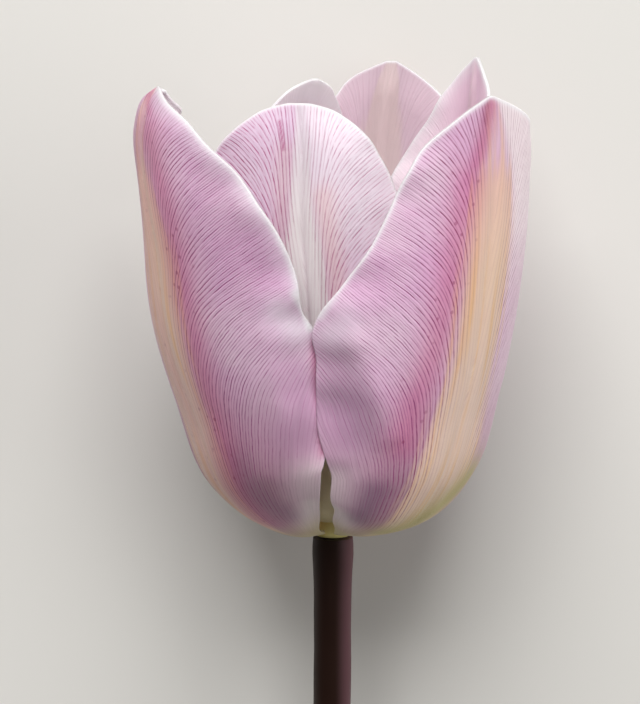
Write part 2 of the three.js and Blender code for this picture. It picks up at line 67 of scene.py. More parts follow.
# Tepals. A list's first number runs from the foot (0) to the tip (1). A spine's points are (radius,
# height), and those of a line are (across, along) on the face. A fold is (height, width, line), and a
# mark (kind, width, strength, line), of which a lining, painted light, shows on the inner face alone.
# The forms are the CAD model's, apart from the two front tepals: their feet, and the left one's tucked
# margins and tip, follow the photograph more closely.
OUTER_BEND = [[0, 8], [0.15, 20], [0.35, 23], [0.6, 23], [1, 21.5]]
INNER_BEND = [[0, 8], [0.2, 18], [0.4, 22], [1, 21.5]]
STRAIGHT = [[0, 0], [1, 0]]
INNER_BAND = [[0, 2], [0.4, 3.2], [0.62, 2.6], [0.85, 1.6], [1, 0.5]]
TEPALS = {
    "outer_tepal_left": {
        "azimuth": -61.4,
        "spine": [[3, 0.8], [5.8, 0.8], [12.2, 3.2], [18.2, 8.4], [23.1, 20.5], [26.2, 31], [27.9, 43],
                  [28.9, 53], [28.9, 61], [27.8, 65], [27.5, 65.7]],
        "lean": [[0, 0], [0.3, 1.2], [0.6, 0.5], [0.8, 1.4], [0.92, -0.2], [0.985, -0.8], [1, 0]],
        "left": [[0, 3], [0.1, 8.6], [0.2, 14.5], [0.35, 21], [0.5, 24], [0.65, 24.5], [0.8, 23.5],
                 [0.88, 21.5], [0.94, 16.5], [0.98, 10], [1, 0.4]],
        "right": [[0, 3.4], [0.05, 7.8], [0.1, 12.4], [0.16, 16.4], [0.22, 19.3], [0.28, 21], [0.35, 22.3],
                  [0.42, 23.4], [0.48, 24.3], [0.54, 24.6], [0.575, 23.7], [0.65, 23.3], [0.72, 21.5],
                  [0.79, 18.8], [0.86, 15.5], [0.91, 11.6], [0.95, 8.4], [0.98, 3.4], [1, 0.4]],
        "bend": OUTER_BEND,
        "tuck_right": [[0, 0], [0.24, 0], [0.33, 1.8], [0.44, 2.3], [0.53, 2.1], [0.61, 0.3], [0.68, 0],
                       [1, 0]],
        "tuck_left": [[0, 0], [0.82, 0], [0.86, 0], [0.9, 1], [0.94, 3.4], [0.97, 6], [0.988, 6.2],
                      [1, 1.6]],
        "folds": [(-0.6, 3.4, [(21, 37), (21.2, 36)]), (0.35, 2.2, [(17.5, 30), (12, 21)])],
        "band_middle": [[0, 0.2], [0.36, -0.4], [0.5, -1.2], [0.66, -1.4], [0.85, -4], [1, 0]],
        "band_half": [[0, 2.2], [0.36, 5.2], [0.6, 6], [0.72, 5.4], [0.85, 3], [1, 0.8]],
        "band_fades": 0.45,
        "rim_left": 0.3,
        "rim_right": 1.2,
        "halo": 3,
        "marks": [("seam", 3.4, 0.5, [(18, 19), (16, 14)]),
                  ("seam", 2.2, 0.8, [(14.6, 12), (12, 9), (8.8, 6)]),
                  # Painted shade: a mauve shade low by the foot.
                  ("dusk", 3, 0.5, [(7, 23), (8, 16), (10, 11)]),
                  ("rose", 3.5, 0.6, [(0, 70), (1.4, 64), (2.8, 59), (4.4, 52), (6, 43), (5.8, 36), (5.4, 28),
                                      (4, 19), (2.8, 12)]),
                  ("rose", 2.6, 0.35, [(-4, 71), (-7, 65)]),
                  # Painted shade: a faint rose along the band, which lies more in shade on this tepal.
                  ("rose", 4.5, 0.22, [(-6, 60), (-5, 50), (-3, 38), (0, 26), (1, 16), (1, 10)]),
                  ("rose", 1.4, 0.6, [(-1.6, 77), (0.4, 73)]),
                  # Painted shade: a mauve shade beside the seam, where the face turns inward.
                  ("dusk", 4.5, 0.42, [(21, 36), (19, 27)]),
                  ("rim", 1.1, 0.9, [(23.2, 48), (24, 45), (24.2, 41.5)]),
                  ("rim", 2.8, 0.5, [(20.6, 45), (22.6, 42)]),
                  # Painted light: the tucked tip's inner face turns white, as if lit through.
                  ("lining", 5, 1, [(-9, 68), (-5, 76)]),
                  ("rim", 1.7, 0.22, [(21.6, 52), (19.8, 57), (17, 62.5), (13.5, 67.5), (9.5, 71.5)]),
                  # Painted shade: a faint mauve shade along the upper right margin.
                  ("dusk", 3, 0.24, [(20, 54), (16, 61), (12, 67), (8, 72), (3, 77)]),
                  # Painted shade: rose along the right margin, so that the shadow in the seam's gap reads
                  # pink.
                  ("rose", 0.8, 0.5, [(21, 22.5), (22.3, 28), (23.4, 34), (24.3, 38.5)]),
                  ("rose", 0.8, 0.7, [(-0.6, 77), (0.4, 79)])],
    },
    "outer_tepal_right": {
        "azimuth": 46.7,
        "spine": [[3, 0.8], [9, 1.6], [15.2, 3.9], [19.8, 9.4], [23.4, 20.5], [25.9, 31], [27.7, 43],
                  [28.6, 53], [29.2, 61], [29.4, 64.8]],
        "lean": [[0, 0], [0.3, 0.4], [0.6, 1.1], [0.8, 1.3], [0.92, 0.9], [1, 0]],
        "left": [[0, 3], [0.05, 7.1], [0.1, 11.3], [0.15, 13.9], [0.2, 16], [0.25, 17.3], [0.31, 19.2],
                 [0.38, 21.5], [0.45, 22.8], [0.5, 23.6], [0.54, 24.6], [0.58, 24.3], [0.65, 21.5],
                 [0.72, 18.5], [0.79, 16.2], [0.86, 13.9], [0.91, 11.5], [0.95, 7.6], [0.98, 3.8], [1, 0.4]],
        "right": [[0, 2.8], [0.1, 7], [0.2, 12.8], [0.35, 20.3], [0.5, 25], [0.65, 26.7], [0.8, 25.5],
                  [0.88, 21.8], [0.93, 16.1], [0.97, 7.5], [1, 0.4]],
        "bend": OUTER_BEND,
        "folds": [(-0.5, 4, [(-20.5, 37), (-18.5, 31)]), (0.5, 2.2, [(-18.2, 41), (-16.5, 38), (-11.3, 29)]),
                  (0.4, 2.6, [(-18.5, 29), (-17.5, 25)])],
        "band_middle": [[0, 0.2], [0.2, -0.2], [0.36, 0.6], [0.5, 0.9], [0.66, 0.5], [0.85, 0.6], [1, 0]],
        "band_half": [[0, 2.2], [0.2, 5.2], [0.36, 6.2], [0.5, 5.4], [0.66, 5], [0.85, 4.4], [1, 1]],
        "band_fades": 0.55,
        "rim_left": 0.7,
        "rim_right": 0.8,
        # Partly painted light: the right half is paler, in part its own tone and in part as if lit from the
        # right.
        "pale_and_painted_light_side": 1,
        "marks": [("seam", 2.8, 0.45, [(-17.4, 20), (-15.6, 15)]),
                  ("seam", 2, 0.75, [(-14.4, 12.5), (-12.5, 10.5), (-9, 7)]),
                  # Painted shade: the four mauve marks below, low by the foot, in the valley beside the seam
                  # and on the bulge under it.
                  ("dusk", 2.8, 0.8, [(-10.8, 19), (-10.5, 12)]),
                  ("dusk", 4.5, 0.68, [(-22, 38), (-20, 35), (-16, 29)]),
                  ("dusk", 4, 0.16, [(-9, 29), (-9, 22)]),
                  ("dusk", 3.5, 0.25, [(-20, 28), (-18, 24)]),
                  ("olive", 3.6, 0.9, [(-3, 10), (2, 15), (8, 20)]),
                  ("rose", 3, 0.55, [(-4.3, 65), (-5.6, 57), (-6.4, 48), (-7, 41), (-8.4, 34), (-8.8, 28)]),
                  ("rose", 1.6, 0.6, [(0, 76), (-1.4, 72), (-3.4, 67)]),
                  ("deep", 0.7, 0.35, [(-0.6, 77), (-1.6, 73)]),
                  ("rim", 1.1, 0.85, [(-23, 48), (-24.2, 45)]),
                  ("rim", 2.4, 0.35, [(-20.5, 44.5), (-22, 42)])],
    },
    "outer_tepal_back": {
        "azimuth": 167,
        "spine": [[3, 0.8], [7.5, 1.3], [13, 3.6], [18.6, 9.2], [23.3, 20.5], [25.8, 31], [26.6, 43],
                  [26.2, 53], [25.3, 60], [24.3, 67.3]],
        "lean": [[0, 0], [0.3, -0.1], [0.6, -0.4], [0.8, -1.1], [0.92, -2.3], [1, -3.4]],
        "left": [[0, 2.8], [0.1, 8.4], [0.2, 14.4], [0.35, 20.6], [0.5, 23.3], [0.65, 22.1], [0.78, 18.1],
                 [0.87, 13.9], [0.93, 9.8], [0.975, 4.4], [1, 0.8]],
        "right": [[0, 3], [0.1, 8.6], [0.2, 14], [0.35, 19.4], [0.5, 21.1], [0.65, 19.4], [0.78, 15.2],
                  [0.87, 11.1], [0.93, 7.9], [0.975, 5], [1, 0.8]],
        "bend": OUTER_BEND,
        "rests": True,
        "band_middle": STRAIGHT,
        "band_half": [[0, 2], [0.36, 4.4], [0.66, 4.2], [0.85, 3.4], [1, 0.8]],
        "rim_left": 0.4,
        "rim_right": 0.4,
    },
    "inner_tepal_front": {
        "azimuth": -7.5,
        "spine": [[3, 2.9], [6, 3.4], [11, 5.8], [15.2, 11.2], [18.2, 20], [19.9, 31], [20.8, 42],
                  [20.6, 52], [18.9, 60], [16.7, 63.6]],
        "lean": [[0, 0], [0.3, 0], [0.6, -0.3], [0.8, -1.3], [0.92, -1.8], [1, -2.6]],
        "left": [[0, 2.2], [0.1, 6], [0.2, 11], [0.35, 16.6], [0.5, 19.3], [0.65, 20], [0.75, 19.1],
                 [0.83, 17.1], [0.89, 14.6], [0.94, 11.2], [0.975, 7.4], [0.992, 4.4], [1, 1.6]],
        "right": [[0, 2.2], [0.1, 6], [0.2, 10.2], [0.35, 15], [0.5, 16.5], [0.65, 16], [0.75, 14.3],
                  [0.83, 12.8], [0.89, 11], [0.94, 9], [0.975, 6.4], [0.992, 4], [1, 1.6]],
        "bend": INNER_BEND,
        "band_middle": [[0, 0], [0.5, -0.7], [0.85, -0.3], [1, 0.3]],
        "band_half": [[0, 2], [0.4, 3.8], [0.62, 2.9], [0.8, 1.5], [0.92, 1], [1, 0.7]],
        "rim_left": 0.5,
        "rim_right": 0.5,
        # Partly painted light: the right half is paler, in part its own tone and in part as if lit from the
        # right.
        "pale_and_painted_light_side": 1,
        "marks": [("deep", 0.2, 0.85, [(-2.9, 66.6), (-2.6, 62.4)]),
                  # Partly painted light: the foot's olive patch, lifted near to white in the shaded wedge
                  # between the front tepals.
                  ("olive", 9, 0.95, [(-2, 6), (2, 14)]),
                  ("rose", 0.25, 0.3, [(0.1, 69), (-0.2, 55), (-0.7, 35)]),
                  # Painted shade: a warm shade on both sides of the band.
                  ("dusk", 1.8, 0.42, [(2.6, 56), (3.4, 46), (3.6, 36)]),
                  ("dusk", 1.6, 0.3, [(-2.4, 62), (-3.6, 48)]),
                  ("rose", 6, 0.16, [(-12, 62), (-13, 50)])],
    },
    "inner_tepal_right": {
        "azimuth": 111.8,
        "spine": [[3, 2.9], [6, 3.3], [11, 5.6], [15.5, 11.2], [18.7, 20], [20.7, 31], [21.7, 42],
                  [22.2, 52], [22.3, 61], [22.2, 68.6]],
        "lean": [[0, 0], [0.6, 0.4], [0.8, 0.5], [1, -0.5]],
        "left": [[0, 2.2], [0.1, 6], [0.2, 11], [0.35, 17], [0.5, 19.9], [0.65, 19.8], [0.74, 17.6],
                 [0.82, 14.2], [0.88, 10.4], [0.93, 6.7], [0.97, 3], [1, 0.5]],
        "right": [[0, 2.2], [0.1, 6], [0.2, 10], [0.35, 15], [0.5, 17.6], [0.65, 18.8], [0.74, 17.4],
                  [0.82, 14], [0.88, 10.5], [0.93, 7.8], [0.97, 4.3], [1, 0.5]],
        "bend": INNER_BEND,
        "band_middle": STRAIGHT,
        "band_half": INNER_BAND,
        "rim_left": 1,
        "rim_right": 0.8,
        "halo": 3.4,
        # Painted shade: a warm shade over the tip.
        "marks": [("dusk", 11, 0.6, [(0, 73), (-3, 60), (-3, 45)])],
    },
    "inner_tepal_left": {
        "azimuth": -140.5,
        "spine": [[3, 2.9], [6, 3.4], [11, 5.8], [15.5, 11.2], [18.8, 20], [19.8, 31], [19.1, 42],
                  [16.6, 52], [12, 60], [7.4, 65.6]],
        "lean": [[0, 0], [0.3, -0.4], [0.6, -1], [0.8, -2], [0.92, -3.2], [1, -2.7]],
        "left": [[0, 2.2], [0.1, 6], [0.2, 10], [0.35, 14.8], [0.5, 17], [0.65, 17], [0.8, 13],
                 [0.9, 8], [0.955, 5], [0.985, 2.9], [1, 0.6]],
        "right": [[0, 2.2], [0.1, 6], [0.2, 10.7], [0.35, 16.3], [0.5, 18.9], [0.65, 17.9], [0.8, 13.3],
                  [0.9, 8.6], [0.955, 6.2], [0.985, 3.6], [1, 0.6]],
        "bend": INNER_BEND,
        "band_middle": STRAIGHT,
        "band_half": INNER_BAND,
        "rim_left": 1.2,
        "rim_right": 1.8,
        # Partly painted light: the whole tip turns white, for its own white patch and as if lit through, as
        # it leans away from the light.
        "marks": [("rim", 10, 1, [(0, 72), (0, 60)]), ("rim", 3, 1, [(-2.4, 72), (-5, 66)])],
    },
}

# Grid of a tepal, and its thickness, which shrinks over the last millimetres to a rounded lip
ROWS = 150
COLUMNS = 110
MIDDLE_THICKNESS = 0.75
MARGIN_THICKNESS = 0.36
THINNING = 5
LIP_BULGE = 0.12
LEAST_HALF_WIDTH = 0.2

# Relief of a tepal: each tuck's side and where it starts, from the midrib (0) to the margin (1), the
# midrib furrow as (depth, width), the ridges beside it as (height, place, width), and the margin's
# waves, in waves to a tepal
TUCKS = {"tuck_right": (1, 0.7), "tuck_left": (-1, 0.15)}
FURROW = (0.22, 0.7)
RIDGE = (0.1, 1.9, 0.9)
WAVE_DEPTH = 0.16
LARGE_WAVES = 7.3
SMALL_WAVES = 12.1

# Veins: their step along the midrib, their angle to it from the band (0) to the margin (1), how fast
# they follow each other from the foot (0) to the tip (1), and a first number that keeps them above 0
VEIN_STEP = 0.38
VEIN_ANGLES = [[0, 6], [0.17, 10], [0.26, 28], [0.38, 45], [0.57, 56], [1, 60]]
VEIN_RATE = [[0, 0], [0.2, 0.03], [0.36, 0.16], [0.5, 0.6], [0.62, 1], [1, 1]]
FIRST_VEIN = 200
VEIN_SAMPLES = 200
# The half width that the angles are meant for. Near the tip the veins reckon with this share of a
# tepal's widest half, and the change to it is soft over two millimetres.
VEIN_SPAN = 23
KEPT_REACH = 0.85
LEAST_REACH = 0.3
REACH_SOFTNESS = 2
# The gap that veins keep at the margin, the half width over which a vein fades, as a share of the
# closest gap, and the half width of its full strength
MARGIN_GAP = 0.34
VEIN_WIDTH = 0.27
VEIN_CORE = 0.025

# How far the pale halo of a rim reaches, in rim widths, where its tepal doesn't say otherwise
HALO = 1.6

# What a tepal's skin reads at each point, three values to an attribute
SKIN_FIELDS = {
    "veins": ("index", "gap", "cover"),
    "zones": ("band", "rim", "foot"),
    "tones": ("pale", "dusk", "seam"),
    "stains": ("deep", "olive", "low"),
    "place": ("across", "along", "rose"),
}

# Patterns on the pieces, as cells to a metre: 1000 is a cell of one millimetre. Papillae and pollen
# are finer than shows, so their mottle is drawn at a third of a millimetre.
VEIN_WANDER = 300.0
BLOTCHES = 90.0
SPECKS = 480.0
RECEPTACLE_MOTTLE = 500.0
OVARY_MOTTLE = 350.0
STEM_STREAKS = 700.0
STEM_PATCHES = 60.0
STEM_BUNDLES = 900.0
DUST_MOTTLE = 3000.0
SWEEP_SWELL = 140.0

# Stem, as in the CAD model. Its skin turns to a lighter mauve, painted light on the side that the light
# comes from, between two places along X, and to the cut end's within a small depth.
STEM_LENGTH = 138
STEM_TOP = 0.1
STEM_RADIUS = [[-138, 2.95], [-45, 2.75], [-20, 2.72], [-5, 2.8], [-1.2, 2.95], [0.1, 2.85]]
STEM_SWAY = -3.5
STEM_LIFT = 1.07
STEM_POINTS = 160
PAINTED_LIGHT_FROM = 0.5
PAINTED_LIGHT_TO = 3.1
CUT_DEPTH = 0.12

# Receptacle, as (height, radius), ovary, stigma and stamens, as in the CAD model. The ovary and the
# stigma are (foot, top, radius, depth of the three lobes), and their profiles run from foot (0) to
# top (1). Paths are (radius, height), and an anther's furrow is (depth, width).
RECEPTACLE = [[0.4, 2.3], [0.9, 2.42], [3.4, 2.42], [4.4, 1.6]]
RECEPTACLE_SIDES = 48
OVARY = (5.1, 26, 3.1, 0.14)
OVARY_PROFILE = [[0, 0.42], [0.08, 0.68], [0.2, 0.93], [0.4, 1], [0.65, 0.97], [0.88, 0.86], [1, 0.7]]
STIGMA = (26.3, 29.5, 3.7, 0.32)
STIGMA_PROFILE = [[0, 0.6], [0.3, 0.9], [0.65, 1], [0.9, 0.8], [1, 0.45]]
LOBE_GROOVE = 0.05
STAMEN_TURNS = [30 + 60 * k for k in range(6)]
FILAMENT_PATH = [[1.4, 3.7], [3.2, 5.3], [4.3, 7.1], [5.2, 9.8], [5.9, 13.5]]
FILAMENT_RADIUS = [0.6, 0.62, 0.65, 0.6, 0.42]
FILAMENT_POINTS = 30
ANTHER_PATH = [[6, 13.9], [6.2, 15.3], [6.7, 20], [7.2, 24.6], [7.4, 26.4]]
ANTHER_WIDTH = [0.8, 1.3, 1.35, 1.15, 0.5]
ANTHER_DEPTH = [0.5, 0.8, 0.85, 0.72, 0.35]
ANTHER_FURROW = (0.16, 0.22)
ANTHER_LEVELS = 40
ANTHER_SIDES = 36

# Stage, in metres: the floor, and each light's place, size and share of the key light's power. The
# lights face a point in the middle of the flower, which is in millimetres as the flower is.
FLOOR_REACH = 3.0
FLOOR_DROP = 0.00005
LIGHTS = {"key_light": ((-0.05, 0.8, 0.7), 0.8, 1.0), "side_light": ((0.9, 0.1, 0.5), 0.7, 0.22)}
LIT_POINT = (0, 30, 0)
SOFT_WHITE = (1.0, 0.98, 0.96, 1)

# View of the photograph: a look-at point in the flower, the camera's rise, distance and scale
LOOK_AT = (-1.857, 27.0, 0.0)
RISE = math.radians(8)
DISTANCE = 480
PIXELS_PER_MM = 7
PICTURE = (640, 704)
SENSOR = 36


def linear(hex_colour):
    """An sRGB hex colour as linear red, green and blue, and full cover."""
    parts = [int(hex_colour[i:i + 2], 16) / 255 for i in (1, 3, 5)]
    return (*(c / 12.92 if c <= 0.04045 else ((c + 0.055) / 1.055) ** 2.4 for c in parts), 1)


def curve(stations, x, column=1):
    """Smooth curve through stations of [position, value, ...], as in the CAD model."""
    table = np.array(stations, float)
    at, value = table[:, 0], table[:, column]
    gap = np.diff(at)
    secant = np.diff(value) / gap
    slope = np.empty(len(at))
    slope[0], slope[-1] = secant[0], secant[-1]
    slope[1:-1] = (secant[:-1] * gap[1:] + secant[1:] * gap[:-1]) / (gap[:-1] + gap[1:])
    x = np.asarray(x, float)
    i = np.clip(np.searchsorted(at, x, side="left") - 1, 0, len(gap) - 1)
    u = np.clip((x - at[i]) / gap[i], 0, 1)
    return ((2 * u**3 - 3 * u**2 + 1) * value[i] + (u**3 - 2 * u**2 + u) * gap[i] * slope[i]
            + (3 * u**2 - 2 * u**3) * value[i + 1] + (u**3 - u**2) * gap[i] * slope[i + 1])


def smooth(low, high, x):
    """0 below low, 1 above high, and a soft step between."""
    t = np.clip((x - low) / (high - low), 0, 1)
    return t * t * (3 - 2 * t)


def running(values):
    """The running total of evenly spaced values from 0 to 1, as a share of a whole."""
    return np.concatenate([[0], np.cumsum((values[1:] + values[:-1]) / 2)]) / (len(values) - 1)


def path_stations(path, *more):
    """A path of points, with more columns, as stations of [fraction of its length, ...], and its length."""
    table = np.array(path, float)
    along = np.concatenate([[0], np.cumsum(np.hypot(*np.diff(table, axis=0).T))])
    return np.column_stack([along / along[-1], table, *more]), along[-1]


def heading(stations, t):
    """Which way a path of radius and height runs at t: its shares outward and upward."""
    step = 0.001
    low, high = np.maximum(0, t - step), np.minimum(1, t + step)
    out, up = (curve(stations, high, column) - curve(stations, low, column) for column in (1, 2))
    size = np.hypot(out, up)
    return out / size, up / size


def turned(points, azimuth):
    """Points turned about the flower's axis, from the +Z side to an azimuth in degrees."""
    c, s = math.cos(math.radians(azimuth)), math.sin(math.radians(azimuth))
    x, y, z = points[..., 0], points[..., 1], points[..., 2]
    return np.stack([x * c + z * s, y, z * c - x * s], -1)


def laid(points):
    """Points of the standing flower, laid down on the table."""
    c, s = math.cos(TILT), math.sin(TILT)
    x, y, z = points[..., 0], points[..., 1], points[..., 2]
    return np.stack([x + ORIGIN[0], y * c - z * s + ORIGIN[1], AXIS_HEIGHT + y * s + z * c], -1)


def pressed(height):
    """Heights below the table come up to it, with a soft change of slope."""
    soft = (height + FLATTEN) ** 2 / (4 * FLATTEN)
    return np.where(height <= -FLATTEN, 0, np.where(height >= FLATTEN, height, soft))


def placed(name, data):
    """An object in the scene for a mesh, a light or a camera."""
    thing = bpy.data.objects.new(name, data)
    bpy.context.scene.collection.objects.link(thing)
    return thing


def mesh_object(name, points, edges, faces, attributes=None):
    """A smooth mesh from points in millimetres on the table, with values to keep at each of them."""
    mesh = bpy.data.meshes.new(name)
    mesh.from_pydata((points * MM).tolist(), edges, faces)
    mesh.shade_smooth()
    for key, values in (attributes or {}).items():
        kind, field = ("FLOAT_VECTOR", "vector") if values.ndim == 2 else ("FLOAT", "value")
        data = mesh.attributes.new(key, kind, "POINT").data
        data.foreach_set(field, values.astype(np.float32).ravel())
    return placed(name, mesh)


def settle(piece, material, slot, *nodes):
    """Gives a finished piece its material and its body, and hides the CAD nodes it stands for. Its slot is
    not used.
    """
    if material is not None:
        piece.data.materials.clear()
        piece.data.materials.append(material)
    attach(piece, "root")
    if nodes:
        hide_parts(*nodes)


def add_node(tree, kind, links=None, **settings):
    """Adds a node to a tree and gives its outputs. Its links are values or other nodes' outputs."""
    node = tree.nodes.new(kind)
    for key, value in settings.items():
        setattr(node, key, value)
    for key, value in (links or {}).items():
        for source in value if isinstance(value, list) else [value]:
            if isinstance(source, bpy.types.NodeSocket):
                tree.links.new(source, node.inputs[key])
            else:
                node.inputs[key].default_value = source
    return node.outputs


def new_material(name):
    """An empty material, and the function that adds a node to it."""
    material = bpy.data.materials.new(name)
    material.use_nodes = True
    material.node_tree.nodes.clear()
    return material, partial(add_node, material.node_tree)


def finished(material, add, surface):
    """The material, once a shader with these inputs is its surface."""
    shader = add("ShaderNodeBsdfPrincipled", surface)
    add("ShaderNodeOutputMaterial", {"Surface": shader[0]})
    return material


def half_width(shape, v, s):
    """Half the tepal's width along its surface, on the side that s is on."""
    return np.maximum(LEAST_HALF_WIDTH, np.where(s > 0, curve(shape["right"], v), curve(shape["left"], v)))


def near_line(across, along, line, width):
    """1 on a line of (across, along) points in millimetres on a tepal's face, fading out over a width."""
    nearest = np.full_like(across, np.inf)
    for (a, b), (c, d) in zip(line, line[1:]):
        t = np.clip(((across - a) * (c - a) + (along - b) * (d - b)) / ((c - a) ** 2 + (d - b) ** 2), 0, 1)
        nearest = np.minimum(nearest, np.hypot(across - a - t * (c - a), along - b - t * (d - b)))
    return np.exp(-((nearest / width) ** 2))


def relief(shape, v, s, across):
    """How far the outer face lies inside its plain form: tucks, folds, the midrib furrow and edge waves."""
    hollow = np.zeros_like(v)
    for tuck, (side, start) in TUCKS.items():
        if tuck in shape:
            hollow += curve(shape[tuck], v) * (np.maximum(0, side * s - start) / (1 - start)) ** 2
    length = path_stations(shape["spine"])[1]
    for height, width, line in shape.get("folds", ()):
        hollow -= height * near_line(across, v * length, line, width)
    from_band = across - curve(shape["band_middle"], v)
    fade = smooth(0.1, 0.3, v) * (1 - smooth(0.93, 1, v))
    depth, width = FURROW
    hollow += depth * fade * np.exp(-((from_band / width) ** 2))
    height, place, width = RIDGE
    hollow -= height * fade * np.exp(-(((np.abs(from_band) - place) / width) ** 2))
    waves = np.sin(2 * math.pi * v * LARGE_WAVES + shape["azimuth"])
    waves += 0.6 * np.sin(2 * math.pi * v * SMALL_WAVES + 1.7)
    fade = smooth(0.55, 1, np.abs(s)) * smooth(0.25, 0.5, v) * (1 - smooth(0.9, 1, v))
    return hollow + WAVE_DEPTH * waves * fade


def tepal_face(shape, v, s):
    """The outer face of a tepal, standing, at v (foot 0, tip 1) and s (left margin -1, right margin 1)."""
    stations, _ = path_stations(shape["spine"])
    out, up = heading(stations, v)
    bend = curve(shape["bend"], v)
    across = s * half_width(shape, v, s)
    angle = across / bend
    hollow = relief(shape, v, s, across)
    depth = bend * (1 - np.cos(angle)) + hollow * np.cos(angle)
    return np.stack([
        (bend - hollow) * np.sin(angle) + curve(shape["lean"], v),
        curve(stations, v, 2) + out * depth,
        curve(stations, v, 1) - up * depth,
    ], -1)


def tepal_skins(shape, v, s):
    """The outer and inner faces of a tepal on the table, with each point's distance to the margin."""
    step = 0.003
    up = tepal_face(shape, np.minimum(1, v + step), s) - tepal_face(shape, np.maximum(0, v - step), s)
    right = tepal_face(shape, v, np.minimum(1, s + step)) - tepal_face(shape, v, np.maximum(-1, s - step))
    inward = np.cross(up, right)
    inward /= np.linalg.norm(inward, axis=-1, keepdims=True)
    outer = tepal_face(shape, v, s)
    edge = margin_distance(outer)
    thickness = MARGIN_THICKNESS + (MIDDLE_THICKNESS - MARGIN_THICKNESS) * smooth(0, THINNING, edge)
    inner = outer + inward * thickness[..., None]
    outer = laid(turned(outer, shape["azimuth"]))
    inner = laid(turned(inner, shape["azimuth"]))
    if shape.get("rests"):
        outer[..., 2] = pressed(outer[..., 2])
        inner[..., 2] = thickness + pressed(inner[..., 2] - thickness)
    return outer, inner, edge


def margin_distance(points):
    """The distance from each point of a grid to the tepal's free margin, which leaves out its foot."""
    margin = np.concatenate([points[:, 0], points[-1], points[:, -1]])
    tree = KDTree(len(margin))
    for i, p in enumerate(margin):
        tree.insert(Vector(p), i)
    tree.balance()
    return np.array([tree.find(Vector(p))[2] for p in points.reshape(-1, 3)]).reshape(points.shape[:2])


def vein_field(shape, points, v, s, spacing):
    """An index that is whole on each vein, the gap between veins and the way across from the band.

    Both lengths are in millimetres. Near the tip the veins reckon with a wider tepal than it is, so
    that they keep their angle and run out over its margin.
    """
    _, length = path_stations(shape["spine"])
    middle = curve(shape["band_middle"], v)
    across = s * half_width(shape, v, s) - middle
    reach = np.where(across > 0, curve(shape["right"], v) - middle, curve(shape["left"], v) + middle)
    reach = np.maximum(LEAST_REACH, reach)
    spare = KEPT_REACH * np.max(reach) - reach
    reach = reach + smooth(0.45, 0.6, v) * (spare + np.sqrt(spare**2 + REACH_SOFTNESS**2)) / 2
    share = np.clip(np.abs(across) / reach, 0, 1)
    steps = np.linspace(0, 1, VEIN_SAMPLES)
    fall = running(1 / np.tan(np.radians(curve(VEIN_ANGLES, steps)))) * VEIN_SPAN
    climb = running(curve(VEIN_RATE, steps)) * length
    index = (np.interp(v, steps, climb) - np.interp(share, steps, fall)) / spacing + FIRST_VEIN

    # The gap is the index's steepness on the curved face, turned over
    dv, ds = np.gradient(index)
    pv, ps = np.gradient(points, axis=(0, 1))
    e, f, g = (pv * pv).sum(-1), (pv * ps).sum(-1), (ps * ps).sum(-1)
    steepness = (g * dv**2 - 2 * f * dv * ds + e * ds**2) / np.maximum(TINY, e * g - f * f)
    return index, 1 / np.sqrt(np.maximum(1000 * TINY, steepness)), across


def tone_maps(shape, v, s, across, edge):
    """How much of each tone a tepal's skin has at each point, from 0 to 1.

    Limits for v are shares of the tepal's length, those for the side are shares of its half width, and
    those for what lies away from the band are shares of the band's half width.
    """
    half = curve(shape["band_half"], v)
    away = np.abs(across) / half
    side = np.abs(s)
    length = path_stations(shape["spine"])[1]
    tones = {kind: 0 * v for kind in ("seam", "dusk", "deep", "olive", "rose", "lining")}
    rim_width = np.where(s > 0, shape["rim_right"], shape["rim_left"])
    halo = rim_width * np.where(s > 0, shape.get("halo", HALO), HALO)
    tones["rim"] = 0.5 * (1 - smooth(0, 1, edge / rim_width)) + 0.35 * (1 - smooth(0, 1, edge / halo))
    tones["rim"] *= smooth(0.5, 0.66, v)
    for kind, width, strength, line in shape.get("marks", ()):
        patch = strength * near_line(s * half_width(shape, v, s), v * length, line, width)
        tones[kind] = np.maximum(tones[kind], patch)

    tones["band"] = (1 - smooth(0.5, 1.5, away)) * (1 - shape.get("band_fades", 0) * smooth(0.8, 0.92, v))
    tones["foot"] = 1 - smooth(0.03, 0.14, v)
    # Partly painted shade: the low tone darkens the lower part of each tepal, less near the margins, as the
    # bloom there faces away from the light; the rest is its own deeper mauve.
    tones["low"] = (1 - smooth(0.25, 0.52, v)) * (1 - 0.45 * smooth(0.5, 0.85, side))
    # Partly painted light: one side is paler, in part its own tone and in part as if lit from that side.
    pale = smooth(0.3, 1.3, across * shape.get("pale_and_painted_light_side", 0) / half) * (0.3 + 0.7 * smooth(0.6, 0.8, v))
    tones["pale"] = pale

    # The veins' cover is less on the band and the rim, at the foot and low down beside the margin
    cover = (1 - 0.85 * (1 - smooth(0.3, 1.05, away))) * (1 - 0.9 * tones["rim"]) * (1 - 0.35 * pale)
    cover *= (0.3 + 0.7 * smooth(0.08, 0.22, v)) * (1 - 0.2 * smooth(0.45, 1, side))
    tones["cover"] = cover * (1 - 0.6 * smooth(0.4, 0.85, side) * (1 - smooth(0.34, 0.56, v)))
    return tones


